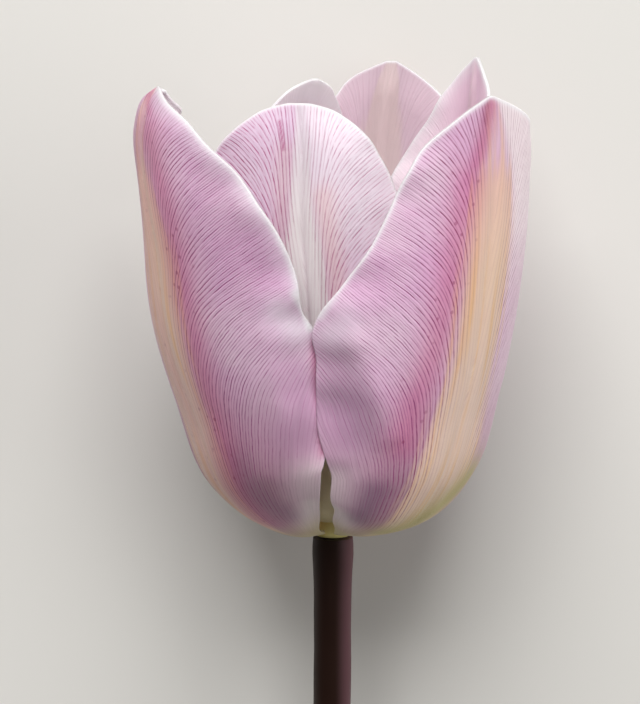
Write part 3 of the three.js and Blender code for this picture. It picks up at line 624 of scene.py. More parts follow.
def shell_faces(rows, columns):
    """Faces of two like grids of points, back to back, and of a lip that joins them round the rim.

    The points of the lip come after both grids. Also gives the rim's points in the first grid.
    """
    grid = np.arange(rows * columns).reshape(rows, columns)
    front = np.stack([grid[:-1, :-1], grid[:-1, 1:], grid[1:, 1:], grid[1:, :-1]], -1).reshape(-1, 4)
    back = front[:, ::-1] + grid.size
    rim = np.concatenate([grid[0, :-1], grid[:-1, -1], grid[-1, :0:-1], grid[:0:-1, 0]])
    lip = np.arange(len(rim)) + 2 * grid.size
    next_rim, next_lip = np.roll(rim, -1), np.roll(lip, -1)
    outer_half = np.stack([next_rim, rim, lip, next_lip], -1)
    inner_half = np.stack([next_lip, lip, rim + grid.size, next_rim + grid.size], -1)
    return np.concatenate([front, back, outer_half, inner_half]), rim


def lip_points(outer, inner):
    """Points midway between the two faces along their rim, pushed out a little so that the rim is round."""
    run = np.roll(outer, -1, axis=0) - np.roll(outer, 1, axis=0)
    out = np.cross(run, inner - outer)
    out /= np.maximum(TINY, np.linalg.norm(out, axis=1, keepdims=True))
    return (outer + inner) / 2 + out * LIP_BULGE


def tepal_piece(name, material, spacing):
    """One tepal: a thin shell with a rounded rim, and what its skin needs to know at each point.

    Its rows of points close up towards the tip, and its columns towards both margins.
    """
    shape = TEPALS[name]
    rise = 1 - (1 - np.linspace(0, 1, ROWS + 1)) ** 1.4
    spread = np.linspace(-1, 1, COLUMNS + 1)
    spread = 0.6 * np.sin(spread * math.pi / 2) + 0.4 * spread
    v, s = np.meshgrid(rise, spread, indexing="ij")
    outer, inner, edge = tepal_skins(shape, v, s)
    index, gap, across = vein_field(shape, outer, v, s, spacing)
    maps = tone_maps(shape, v, s, across, edge)
    maps.update(index=index, gap=gap, across=across, along=v * path_stations(shape["spine"])[1])

    faces, rim = shell_faces(*v.shape)
    outer, inner = outer.reshape(-1, 3), inner.reshape(-1, 3)
    points = np.concatenate([outer, inner, lip_points(outer[rim], inner[rim])])
    attributes = {}
    for key, kinds in SKIN_FIELDS.items():
        skin = np.stack([maps[kind].ravel() for kind in kinds], -1)
        attributes[key] = np.concatenate([skin, skin, skin[rim]])
    # Painted light: the lining turns the inner face to the rim's white, as if lit through.
    inner_rim_and_painted_light = attributes["zones"][v.size:2 * v.size, 1]
    inner_rim_and_painted_light[:] = np.maximum(inner_rim_and_painted_light, maps["lining"].ravel())
    attributes["inside"] = np.repeat([0, 1, 0.5], [v.size, v.size, len(rim)])
    piece = mesh_object(name + "_skin", points, [], faces.tolist(), attributes)
    settle(piece, material, name.rsplit("_", 1)[0], name)


def vein_lines(add, at, coords, vein_gap):
    """The veins' wandering index, how much they crowd, and their mark, from 0 to 1.

    Where veins crowd, every second one runs into its neighbour, and again at half that gap. They keep
    MARGIN_GAP or more between them at the margin, and vein_gap beside the band.
    """
    wander = add("ShaderNodeTexNoise", {"Vector": coords, "Scale": VEIN_WANDER, "Detail": 5.0})["Fac"]
    shift = add("ShaderNodeMath", {0: wander, 1: 0.9, 2: -0.45}, operation="MULTIPLY_ADD")[0]
    line = add("ShaderNodeMath", {0: at["index"], 1: shift}, operation="ADD")[0]
    away = add("ShaderNodeMath", {0: at["across"]}, operation="ABSOLUTE")[0]
    closest = add("ShaderNodeMapRange", {"Value": away, "From Min": 5.0, "From Max": 17.0,
                  "To Min": vein_gap, "To Max": MARGIN_GAP}, interpolation_type="SMOOTHSTEP")[0]
    crowd = closest
    for operation, value in (("DIVIDE", at["gap"]), ("LOGARITHM", 2.0), ("MAXIMUM", 0.0)):
        crowd = add("ShaderNodeMath", {0: crowd, 1: value}, operation=operation)[0]
    closing = add("ShaderNodeMath", {0: crowd}, operation="FRACT")[0]
    rank = add("ShaderNodeMath", {0: crowd}, operation="FLOOR")[0]
    rank = add("ShaderNodeMath", {0: rank, 1: 1.0}, operation="ADD")[0]
    period = add("ShaderNodeMath", {0: 2.0, 1: rank}, operation="POWER")[0]
    part = add("ShaderNodeMath", {0: line, 1: period}, operation="DIVIDE")[0]
    part = add("ShaderNodeMath", {0: part}, operation="FRACT")[0]
    pitch = add("ShaderNodeMath", {0: period, 1: at["gap"]}, operation="MULTIPLY")[0]

    # One vein of each pair stays, and the other closes in on it and fades
    staying = add("ShaderNodeMath", {0: part, 1: 0.5}, operation="PINGPONG")[0]
    centre = add("ShaderNodeMath", {0: closing, 1: 2.0}, operation="POWER")[0]
    centre = add("ShaderNodeMath", {0: centre, 1: -0.5, 2: 0.5}, operation="MULTIPLY_ADD")[0]
    leaving = add("ShaderNodeMath", {0: part, 1: centre}, operation="SUBTRACT")[0]
    leaving = add("ShaderNodeMath", {0: leaving}, operation="ABSOLUTE")[0]
    widest = add("ShaderNodeMath", {0: closest, 1: VEIN_WIDTH}, operation="MULTIPLY")[0]
    marks = []
    for distance in (staying, leaving):
        distance = add("ShaderNodeMath", {0: distance, 1: pitch}, operation="MULTIPLY")[0]
        marks.append(add("ShaderNodeMapRange", {"Value": distance, "From Min": VEIN_CORE,
                     "From Max": widest, "To Min": 1.0, "To Max": 0.0}, interpolation_type="SMOOTHSTEP")[0])
    fading = add("ShaderNodeMapRange", {"Value": closing, "To Min": 0.75, "To Max": 0.0})[0]
    mark = add("ShaderNodeMath", {0: marks[1], 1: fading}, operation="MULTIPLY")[0]
    return line, crowd, add("ShaderNodeMath", {0: mark, 1: marks[0]}, operation="MAXIMUM")[0]


def petal_skin(name, colours, glow, vein_gap, faintest):
    """Fresh petal skin: thin waxy tissue over colour-filled cells, so satin, with light soaking in.

    Mauve veins fan from the midrib band to the margin and merge as they near the band. The glow is how
    much light soaks into the rim, and the faintest is the strength of a vein's weakest stretches.
    """
    material, add = new_material(name)
    c = {key: linear(value) for key, value in colours.items()}
    inside = add("ShaderNodeAttribute", attribute_name="inside")["Fac"]
    at = {}
    for key, kinds in SKIN_FIELDS.items():
        at[key] = add("ShaderNodeAttribute", attribute_name=key)["Vector"]
        at.update(zip(kinds, add("ShaderNodeSeparateXYZ", {0: at[key]})))
    coords = add("ShaderNodeTexCoord")["Object"]
    line, crowd, mark = vein_lines(add, at, coords, vein_gap)

    # Each vein has a strength of its own, and fades and darkens along its run
    own = add("ShaderNodeTexNoise", {"W": line, "Scale": 0.83, "Detail": 1.0}, noise_dimensions="1D")["Fac"]
    own = add("ShaderNodeMapRange", {"Value": own, "From Min": 0.3, "From Max": 0.6, "To Min": 0.5})[0]
    course = add("ShaderNodeCombineXYZ", {0: line, 1: at["along"]})[0]
    run = add("ShaderNodeTexNoise", {"Vector": course, "Scale": 0.8, "Detail": 4.0})["Fac"]
    run = add("ShaderNodeMapRange", {"Value": run, "From Min": 0.35, "From Max": 0.56, "To Min": faintest})[0]
    for factor in (own, run, at["cover"]):
        mark = add("ShaderNodeMath", {0: mark, 1: factor}, operation="MULTIPLY")[0]
    near_band = add("ShaderNodeMapRange", {"Value": crowd, "From Min": 0.3, "From Max": 1.8})[0]
    tint = add("ShaderNodeMix", {0: near_band, 6: c["vein"], 7: c["deep_vein"]}, data_type="RGBA")[2]

    # Between the veins: blotches of a centimetre, fibres that follow the veins, streaks along the
    # tepal, and specks on the rose marks, two of which are painted shade
    blotch = add("ShaderNodeTexNoise", {"Vector": coords, "Scale": BLOTCHES, "Detail": 2.0})["Fac"]
    blotch = add("ShaderNodeMapRange", {"Value": blotch, "From Min": 0.35, "From Max": 0.65})[0]
    fibre = add("ShaderNodeVectorMath", {0: course, 1: (1.3, 0.12, 0.0)}, operation="MULTIPLY")[0]
    fibre = add("ShaderNodeTexNoise", {"Vector": fibre, "Scale": 1.0, "Detail": 2.0})["Fac"]
    streak = add("ShaderNodeVectorMath", {0: at["place"], 1: (0.9, 0.035, 0.0)}, operation="MULTIPLY")[0]
    streak = add("ShaderNodeTexNoise", {"Vector": streak, "Scale": 1.0, "Detail": 3.0})["Fac"]
    speck = add("ShaderNodeTexVoronoi", {"Vector": coords, "Scale": SPECKS})["Distance"]
    speck = add("ShaderNodeMapRange", {"Value": speck, "From Min": 0.09, "From Max": 0.17,
                "To Min": 1.0, "To Max": 0.0})[0]
    speck = add("ShaderNodeMath", {0: speck, 1: at["rose"]}, operation="MULTIPLY")[0]

    # The midrib band is cream with straw streaks and a ragged edge, and warmer and pinker near the tip
    edge = add("ShaderNodeMath", {0: at["band"], 1: 0.5}, operation="PINGPONG")[0]
    ragged = add("ShaderNodeMath", {0: streak, 1: 5.0, 2: -2.5}, operation="MULTIPLY_ADD")[0]
    ragged = add("ShaderNodeMath", {0: ragged, 1: edge}, operation="MULTIPLY")[0]
    band = add("ShaderNodeMath", {0: at["band"], 1: ragged}, operation="ADD")[0]
    band = add("ShaderNodeMapRange", {"Value": band, "From Min": 0.1, "From Max": 0.9},
               interpolation_type="SMOOTHSTEP")[0]
    streak = add("ShaderNodeMapRange", {"Value": streak, "From Min": 0.5, "From Max": 0.68})[0]
    warm = add("ShaderNodeMapRange", {"Value": at["along"], "From Min": 34.0, "From Max": 52.0,
               "To Max": 0.3})[0]
    upper = add("ShaderNodeMapRange", {"Value": at["along"], "From Min": 50.0, "From Max": 70.0},
                interpolation_type="SMOOTHSTEP")[0]
    cream = c["cream"]
    for share, colour in ((streak, "straw"), (warm, "straw"), (upper, "band_top")):
        cream = add("ShaderNodeMix", {0: share, 6: cream, 7: c[colour]}, data_type="RGBA")[2]

    # The inner face is paler, with only a breath of the veins, and its painted shade is paler too
    breath = add("ShaderNodeMath", {0: mark, 1: 0.12}, operation="MULTIPLY")[0]
    ends = ((at["foot"], c["foot"]), (at["rim"], c["rim"]))
    heart = c["inner_face"]
    for share, colour in ((breath, tint), (band, c["inner_band"]), (at["dusk"], c["inner_painted_shade"]),
                          (at["seam"], c["seam"]), *ends):
        heart = add("ShaderNodeMix", {0: share, 6: heart, 7: colour}, data_type="RGBA")[2]
    # Over the field come painted shade (the low tone and the mauve shade), painted light in part (the pale
    # side), and rose marks, two of them painted shade.
    skin = c["field"]
    for share, colour in ((blotch, c["blush"]), (at["low"], c["low"]), (at["pale"], c["pale"]),
                          (at["dusk"], c["dusk"]), (band, cream), (at["rose"], c["rose"]), (mark, tint),
                          (at["seam"], c["seam"]), (at["olive"], c["olive"]), (at["deep"], c["deep_vein"]),
                          *ends, (speck, c["deep_vein"]), (inside, heart)):
        skin = add("ShaderNodeMix", {0: share, 6: skin, 7: colour}, data_type="RGBA")[2]
    shade = add("ShaderNodeMapRange", {"Value": fibre, "From Min": 0.3, "From Max": 0.7,
                "To Min": 0.93, "To Max": 1.05})[0]
    skin = add("ShaderNodeVectorMath", {0: skin, 3: shade}, operation="SCALE")[0]

    # Veins lie a little sunk, and the fibres stand a little proud
    height = add("ShaderNodeMath", {0: mark, 1: -0.6, 2: fibre}, operation="MULTIPLY_ADD")[0]
    bump = add("ShaderNodeBump", {"Height": height, "Distance": 0.09 * MM, "Strength": 0.7})["Normal"]
    thin = add("ShaderNodeMapRange", {"Value": at["rim"], "To Min": glow})[0]
    return finished(material, add, {
        "Base Color": skin, "Normal": bump, "Roughness": 0.52, "IOR": 1.4, "Specular IOR Level": 0.35,
        "Subsurface Weight": thin, "Subsurface Radius": (1.0, 0.92, 0.98), "Subsurface Scale": 1.6 * MM,
        "Sheen Weight": 0.12, "Sheen Roughness": 0.5})


def plant_tissue(name, colour, second, mottle, roughness):
    """Smooth green or pale plant tissue: a thin waxy skin, mottled in soft patches along its length."""
    material, add = new_material(name)
    coords = add("ShaderNodeTexCoord")["Object"]
    stretch = add("ShaderNodeVectorMath", {0: coords, 1: (1.0, 0.15, 1.0)}, operation="MULTIPLY")[0]
    noise = add("ShaderNodeTexNoise", {"Vector": stretch, "Scale": mottle, "Detail": 4.0})["Fac"]
    patch = add("ShaderNodeMapRange", {"Value": noise, "From Min": 0.35, "From Max": 0.65})[0]
    skin = add("ShaderNodeMix", {0: patch, 6: linear(colour), 7: linear(second)}, data_type="RGBA")[2]
    bump = add("ShaderNodeBump", {"Height": noise, "Distance": 0.05 * MM, "Strength": 0.6})[0]
    return finished(material, add, {
        "Base Color": skin, "Normal": bump, "Roughness": roughness, "IOR": 1.4, "Subsurface Weight": 0.1,
        "Subsurface Radius": (1.0, 0.8, 0.5), "Subsurface Scale": 1 * MM})


def stem_skin(name, look, axis, cut_height):
    """A smooth waxy stalk, purple-brown over green, with a lighter mauve of painted light on its +X side, and
    a wet pale cut end.

    The cut end is what lies below the cut height along the axis of the stem's last stretch.
    """
    material, add = new_material(name)
    coords = add("ShaderNodeTexCoord")["Object"]
    stretch = add("ShaderNodeVectorMath", {0: coords, 1: (1.0, 0.06, 1.0)}, operation="MULTIPLY")[0]
    noise = add("ShaderNodeTexNoise", {"Vector": stretch, "Scale": STEM_STREAKS, "Detail": 4.0})["Fac"]
    patch = add("ShaderNodeTexNoise", {"Vector": coords, "Scale": STEM_PATCHES, "Detail": 2.0})["Fac"]
    faded = add("ShaderNodeMath", {0: noise, 1: patch}, operation="MULTIPLY")[0]
    faded = add("ShaderNodeMapRange", {"Value": faded, "From Min": 0.2, "From Max": 0.42, "To Max": 0.55})[0]
    aside = add("ShaderNodeSeparateXYZ", {0: coords})[0]
    # Painted light: the +X side turns a lighter mauve, as if lit.
    painted_light_side = add("ShaderNodeMapRange", {"Value": aside, "From Min": PAINTED_LIGHT_FROM * MM,
                "From Max": PAINTED_LIGHT_TO * MM, "To Max": 0.9}, interpolation_type="SMOOTHSTEP")[0]
    height = add("ShaderNodeVectorMath", {0: coords, 1: axis}, operation="DOT_PRODUCT")["Value"]
    end = add("ShaderNodeMath", {0: height, 1: cut_height}, operation="LESS_THAN")[0]
    bundles = add("ShaderNodeTexVoronoi", {"Vector": coords, "Scale": STEM_BUNDLES})["Distance"]
    bundles = add("ShaderNodeMapRange", {"Value": bundles, "From Min": 0.1, "From Max": 0.4,
                  "To Min": 0.6})[0]
    wet = add("ShaderNodeVectorMath", {0: linear(look.cut)[:3], 3: bundles}, operation="SCALE")[0]
    colour = linear(look.skin)
    for share, layer in ((faded, linear(look.green)), (painted_light_side, linear(look.painted_light_side)), (end, wet)):
        colour = add("ShaderNodeMix", {0: share, 6: colour, 7: layer}, data_type="RGBA")[2]
    bump = add("ShaderNodeBump", {"Height": noise, "Distance": 0.06 * MM, "Strength": 0.5})[0]
    return finished(material, add, {"Base Color": colour, "Normal": bump, "Roughness": 0.5, "IOR": 1.4,
                                    "Specular IOR Level": 0.22})


def velvet(name, colour, second):
    """Tissue covered in tiny papillae or pollen: no shine, a soft light edge, mottled by the grain."""
    material, add = new_material(name)
    coords = add("ShaderNodeTexCoord")["Object"]
    grain = add("ShaderNodeTexVoronoi", {"Vector": coords, "Scale": DUST_MOTTLE})["Distance"]
    skin = add("ShaderNodeMix", {0: grain, 6: linear(colour), 7: linear(second)}, data_type="RGBA")[2]
    return finished(material, add, {"Base Color": skin, "Roughness": 0.85, "Sheen Weight": 0.3,
                                    "Specular IOR Level": 0.2})


def guide(name, paths):
    """Polylines in millimetres on the table, each with a radius at every point, for a sweep."""
    edges, start = [], 0
    for points, _ in paths:
        edges += [(start + k, start + k + 1) for k in range(len(points) - 1)]
        start += len(points)
    points, radius = (np.concatenate(column) for column in zip(*paths))
    return mesh_object(name, points, edges, [], {"thick": radius * MM})


def new_tree(name, inputs):
    """A geometry tree with inputs of (name, kind, default), the function that adds a node, and the inputs."""
    tree = bpy.data.node_groups.new(name, "GeometryNodeTree")
    tree.interface.new_socket("Geometry", in_out="INPUT", socket_type="NodeSocketGeometry")
    for label, kind, default in inputs:
        socket = tree.interface.new_socket(label, in_out="INPUT", socket_type=kind)
        if default is not None:
            socket.default_value = default
    tree.interface.new_socket("Geometry", in_out="OUTPUT", socket_type="NodeSocketGeometry")
    add = partial(add_node, tree)
    return tree, add, add("NodeGroupInput")


def sweep_tree():
    """Sweeps a round section along each guide line, with a little unevenness of its surface."""
    tree, add, given = new_tree("sweep_round", [
        ("Sides", "NodeSocketInt", 24), ("Step", "NodeSocketFloat", 0.001),
        ("Unevenness", "NodeSocketFloat", 0.0), ("Material", "NodeSocketMaterial", None)])
    line = add("GeometryNodeMeshToCurve", {"Mesh": given["Geometry"]})[0]
    thick = add("GeometryNodeInputNamedAttribute", {"Name": "thick"}, data_type="FLOAT")[0]
    line = add("GeometryNodeSetCurveRadius", {"Curve": line, "Radius": thick})[0]
    line = add("GeometryNodeResampleCurve", {"Curve": line, "Length": given["Step"]}, mode="LENGTH")[0]
    ring = add("GeometryNodeCurvePrimitiveCircle", {"Resolution": given["Sides"], "Radius": 1.0})[0]
    radius = add("GeometryNodeInputRadius")[0]
    body = add("GeometryNodeCurveToMesh", {"Curve": line, "Profile Curve": ring, "Scale": radius,
               "Fill Caps": True})[0]
    noise = add("ShaderNodeTexNoise", {"Scale": SWEEP_SWELL, "Detail": 2.0})["Fac"]
    centred = add("ShaderNodeMath", {0: noise, 1: 0.5}, operation="SUBTRACT")[0]
    swell = add("ShaderNodeMath", {0: centred, 1: given["Unevenness"]}, operation="MULTIPLY")[0]
    normal = add("GeometryNodeInputNormal")[0]
    offset = add("ShaderNodeVectorMath", {0: normal, 3: swell}, operation="SCALE")[0]
    body = add("GeometryNodeSetPosition", {"Geometry": body, "Offset": offset})[0]

    # The wall's faces have four corners and are smooth, and its caps have many and are flat
    corners = add("GeometryNodeInputMeshFaceNeighbors")["Vertex Count"]
    wall = add("FunctionNodeCompare", {2: corners, 3: 5}, data_type="INT", operation="LESS_THAN")[0]
    body = add("GeometryNodeSetShadeSmooth", {"Geometry": body, "Shade Smooth": wall})[0]
    body = add("GeometryNodeRealizeInstances", {"Geometry": body})[0]
    body = add("GeometryNodeSetMaterial", {"Geometry": body, "Material": given["Material"]})[0]
    add("NodeGroupOutput", {"Geometry": body})
    return tree


def grain_tree():
    """Scatters small grains over a surface and keeps the surface below them."""
    tree, add, given = new_tree("scatter_grains", [
        ("Density", "NodeSocketFloat", 1e6), ("Size", "NodeSocketFloat", 1e-4),
        ("Seed", "NodeSocketInt", SEED), ("Material", "NodeSocketMaterial", None)])
    dots = add("GeometryNodeDistributePointsOnFaces", {"Mesh": given["Geometry"],
               "Density": given["Density"], "Seed": given["Seed"]})[0]
    grain = add("GeometryNodeMeshIcoSphere", {"Radius": given["Size"], "Subdivisions": 1})[0]
    size = add("FunctionNodeRandomValue", {2: 0.6, 3: 1.25, "Seed": given["Seed"]}, data_type="FLOAT")[1]
    grains = add("GeometryNodeInstanceOnPoints", {"Points": dots, "Instance": grain, "Scale": size})[0]
    body = add("GeometryNodeJoinGeometry", {0: [grains, given["Geometry"]]})[0]
    body = add("GeometryNodeRealizeInstances", {"Geometry": body})[0]
    body = add("GeometryNodeSetShadeSmooth", {"Geometry": body, "Shade Smooth": True})[0]
    body = add("GeometryNodeSetMaterial", {"Geometry": body, "Material": given["Material"]})[0]
    add("NodeGroupOutput", {"Geometry": body})
    return tree


def grown(name, source, tree, values):
    """The plain mesh that a geometry tree makes of a source object, which is then removed."""
    modifier = source.modifiers.new("grow", "NODES")
    modifier.node_group = tree
    for item in tree.interface.items_tree:
        if item.item_type == "SOCKET" and item.in_out == "INPUT" and item.name in values:
            modifier[item.identifier] = values[item.name]
    bpy.context.view_layer.update()
    seen = source.evaluated_get(bpy.context.evaluated_depsgraph_get())
    mesh = bpy.data.meshes.new_from_object(seen)
    mesh.name = name
    bpy.data.objects.remove(source)
    return placed(name, mesh)


def round_angles(count):
    """Evenly spaced angles of one whole turn."""
    return np.linspace(0, 2 * math.pi, count, endpoint=False)


def rings_object(name, rings):
    """A closed body from rings of points, with a cap of triangles at each end."""
    count, sides = rings.shape[:2]
    points = np.concatenate([rings.reshape(-1, 3), rings[0].mean(0)[None], rings[-1].mean(0)[None]])
    foot, top, last = count * sides, count * sides + 1, (count - 1) * sides
    pairs = [(j, (j + 1) % sides) for j in range(sides)]
    faces = [(i + j, i + k, i + k + sides, i + j + sides) for i in range(0, last, sides) for j, k in pairs]
    for j, k in pairs:
        faces += [(foot, k, j), (top, last + j, last + k)]
    return mesh_object(name, points, [], faces)


def three_sided(name, size, profile, sides, levels, groove):
    """A column round the axis with three rounded corners or lobes and a fine furrow on each."""
    foot, top, radius, corner = size
    t = np.linspace(0, 1, levels)[:, None]
    turn = round_angles(sides)[None]
    r = radius * curve(profile, t) * (1 + corner * np.cos(3 * turn))
    r = r - groove * np.exp(-((1 - np.cos(3 * turn)) / LOBE_GROOVE)) * np.sin(math.pi * t)
    y = foot + (top - foot) * t + 0 * turn
    return rings_object(name, laid(np.stack([r * np.sin(turn), y, r * np.cos(turn)], -1)))


def anther_rings(azimuth):
    """The body of one anther on its path, with a furrow down each side."""
    at, _ = path_stations(ANTHER_PATH, ANTHER_WIDTH, ANTHER_DEPTH)
    t = np.linspace(0, 1, ANTHER_LEVELS)[:, None]
    turn = round_angles(ANTHER_SIDES)[None]
    out, up = heading(at, t)
    depth, width = ANTHER_FURROW
    furrow = 1 - depth * np.exp(-((np.sin(turn)) / width) ** 2) * np.sin(math.pi * t) ** 0.5
    reach = curve(at, t, 4) * furrow * np.cos(turn)
    across = curve(at, t, 3) * np.sin(turn)
    points = np.stack([across, curve(at, t, 2) - out * reach, curve(at, t, 1) + up * reach], -1)
    return laid(turned(points, azimuth))


def filament_line(azimuth):
    """The line of one filament on the table, and its radius at each point."""
    at, _ = path_stations(FILAMENT_PATH, FILAMENT_RADIUS)
    t = np.linspace(0, 1, FILAMENT_POINTS)
    line = np.stack([0 * t, curve(at, t, 2), curve(at, t, 1)], -1)
    return laid(turned(line, azimuth)), curve(at, t, 3)


class TulipTepals(bpy.types.PropertyGroup):
    """Colours and vein spacing of the tepals"""

    vein_spacing: bpy.props.FloatProperty(
        name="Vein spacing", description="Distance between veins along the midrib, in millimetres",
        default=VEIN_STEP, min=0.2, max=3.0)
    lilac: bpy.props.StringProperty(
        name="Lilac", description="Skin between the veins, as an sRGB hex colour", default="#e7c8dc")
    blush: bpy.props.StringProperty(
        name="Blush", description="Pinker patches of the skin, as an sRGB hex colour", default="#dfb3d3")
    vein: bpy.props.StringProperty(
        name="Vein", description="Veins near the margin, as an sRGB hex colour", default="#944179")
    deep_vein: bpy.props.StringProperty(
        name="Deep vein", description="Veins beside the midrib band, as an sRGB hex colour",
        default="#8e2a5d")
    cream: bpy.props.StringProperty(
        name="Cream", description="Midrib band, as an sRGB hex colour", default="#eed1c1")
    rim: bpy.props.StringProperty(
        name="Rim", description="Pale rim of each tepal, as an sRGB hex colour", default="#f4ecf4")


class TulipStem(bpy.types.PropertyGroup):
    """Colours of the stem"""

    skin: bpy.props.StringProperty(
        name="Skin", description="Purple-brown skin, as an sRGB hex colour", default="#1f0d06")
    green: bpy.props.StringProperty(
        name="Green", description="Green that shows through, as an sRGB hex colour", default="#27160f")
    # Painted light: the lighter mauve of the stem's +X side stands in for the light on that side.
    painted_light_side: bpy.props.StringProperty(
        name="Painted light side", description="Mauve of the side that had the sun, as an sRGB hex colour",
        default="#644148")
    cut: bpy.props.StringProperty(
        name="Cut", description="Freshly cut end, as an sRGB hex colour", default="#b9c48e")


class TulipHeart(bpy.types.PropertyGroup):
    """The small parts inside the bloom"""

    grain: bpy.props.FloatProperty(
        name="Pollen grain", description="Radius of a pollen grain, drawn coarse so that it shows",
        default=0.00007, min=0.00002, max=0.0003, unit="LENGTH")
    papilla: bpy.props.FloatProperty(
        name="Papilla", description="Radius of a papilla on the stigma", default=0.0001, min=0.00002,
        max=0.0004, unit="LENGTH")


class TulipStage(bpy.types.PropertyGroup):
    """Floor and lights"""

    floor: bpy.props.StringProperty(
        name="Floor", description="Matt pale floor, as an sRGB hex colour", default="#cfcdc8")
    key: bpy.props.FloatProperty(
        name="Key light", description="Power of the large light beyond the tip", default=15.0, unit="POWER")
    fill: bpy.props.FloatProperty(
        name="Fill light", description="Strength of the light from all round", default=0.22)


def outer_colours(look):
    """The tones of the outer tepals' skin: lilac with mauve veins and a cream band."""
    # The low tone is partly painted shade on the lower part of each tepal.
    # The pale tone is partly painted light on the side that the light comes from.
    return {"field": look.lilac, "blush": look.blush, "pale": "#fbe9ef", "low": "#b98ba0",
            "vein": look.vein, "deep_vein": look.deep_vein, "cream": look.cream, "straw": "#f0c698",
            # Painted shade: the mauve shade colour here, and the inner face's one below.
            # The rose colour is the tepals' own streaks, and painted shade on two marks of the left tepal.
            "band_top": "#eec5b8", "dusk": "#8d6c84", "rose": "#c6588c", "seam": "#eadcdc",
            "olive": "#b5ab6a", "foot": "#c4b68e", "rim": look.rim, "inner_face": "#d8c0cb",
            "inner_band": "#dac5c5", "inner_painted_shade": "#d8c0cb"}


def inner_colours(look):
    """The tones of the inner tepals' skin: paler and greyer, with a whitish band."""
    # The low tone is partly painted shade on the lower part of each tepal.
    # The pale tone is partly painted light on the side that the light comes from.
    return {"field": "#d3c0d0", "blush": "#ccb2c8", "pale": "#ddd0da", "low": "#c4adb8",
            "vein": "#9c4570", "deep_vein": "#a34a78", "cream": "#e4dedd", "straw": "#d8cfd0",
            # Painted shade: the warm shade colour here, and the inner face's pink one below.
            "band_top": "#d0c3cd", "dusk": "#d9b3ae", "rose": "#a58f9b", "seam": "#fdf6ff",
            # Partly painted light: the olive here is lifted near to white, for the shaded foot between the
            # front tepals.
            "olive": "#fdf0c4", "foot": "#d2c48e", "rim": look.rim, "inner_face": "#f4e0ea",
            "inner_band": "#f3e6e6", "inner_painted_shade": "#dba9c6"}


class TULIP_OT_outer_tepals(bpy.types.Operator):
    """Adds the three outer tepals: the two that close over the front, and the one that rests"""

    bl_idname = "tulip.outer_tepals"
    bl_label = "Outer Tepals"

    def execute(self, context):
        look = context.scene.tulip_tepals
        skin = petal_skin("petal_skin_outer", outer_colours(look), glow=0.3, vein_gap=0.62, faintest=0.4)
        for name in ("outer_tepal_left", "outer_tepal_right", "outer_tepal_back"):
            tepal_piece(name, skin, look.vein_spacing)
        return {"FINISHED"}


class TULIP_OT_inner_tepals(bpy.types.Operator):
    """Adds the three inner tepals, paler and with a whitish midrib"""

    bl_idname = "tulip.inner_tepals"
    bl_label = "Inner Tepals"

    def execute(self, context):
        look = context.scene.tulip_tepals
        skin = petal_skin("petal_skin_inner", inner_colours(look), glow=0.35, vein_gap=0.56, faintest=0.1)
        for name in ("inner_tepal_front", "inner_tepal_right", "inner_tepal_left"):
            tepal_piece(name, skin, look.vein_spacing)
        return {"FINISHED"}


class TULIP_OT_stem(bpy.types.Operator):
    """Adds the cut stem"""

    bl_idname = "tulip.stem"
    bl_label = "Stem"

    def execute(self, context):
        y = np.linspace(-STEM_LENGTH, STEM_TOP, STEM_POINTS)
        t = np.minimum(0, y) / STEM_LENGTH
        line = laid(np.stack([STEM_SWAY * t * t, y, STEM_LIFT * t * t], -1))
        source = guide("stem_line", [(line, curve(STEM_RADIUS, y))])
        axis = (line[1] - line[0]) / np.linalg.norm(line[1] - line[0])
        cut_height = float(line[0] @ axis + CUT_DEPTH) * MM
        material = stem_skin("waxy_stalk", context.scene.tulip_stem, tuple(axis), cut_height)
        piece = grown("stem_stalk", source, sweep_tree(), {"Sides": 56, "Step": 1.2 * MM,
                      "Unevenness": 0.25 * MM, "Material": material})
        settle(piece, None, "stem", "stem")
        return {"FINISHED"}


class TULIP_OT_receptacle(bpy.types.Operator):
    """Adds the receptacle and the six filaments that grow from it"""

    bl_idname = "tulip.receptacle"
    bl_label = "Receptacle and Filaments"

    def execute(self, context):
        flesh = plant_tissue("pale_receptacle_tissue", "#f6ea9e", "#e4d788", RECEPTACLE_MOTTLE,
                             roughness=0.45)
        turn = round_angles(RECEPTACLE_SIDES)
        rings = [np.stack([r * np.sin(turn), 0 * turn + y, r * np.cos(turn)], -1) for y, r in RECEPTACLE]
        knob = rings_object("receptacle_knob", laid(np.array(rings)))
        settle(knob, flesh, "receptacle", "receptacle")
        lines = guide("filament_lines", [filament_line(azimuth) for azimuth in STAMEN_TURNS])
        piece = grown("filaments", lines, sweep_tree(), {"Sides": 20, "Step": 0.4 * MM,
                      "Unevenness": 0.1 * MM, "Material": flesh})
        settle(piece, None, "receptacle")
        return {"FINISHED"}


class TULIP_OT_ovary(bpy.types.Operator):
    """Adds the three-sided green ovary"""

    bl_idname = "tulip.ovary"
    bl_label = "Ovary"

    def execute(self, context):
        piece = three_sided("ovary_column", OVARY, OVARY_PROFILE, sides=90, levels=60, groove=0.25)
        flesh = plant_tissue("green_ovary_tissue", "#a9b77a", "#bcc690", OVARY_MOTTLE, roughness=0.4)
        settle(piece, flesh, "ovary", "ovary")
        return {"FINISHED"}


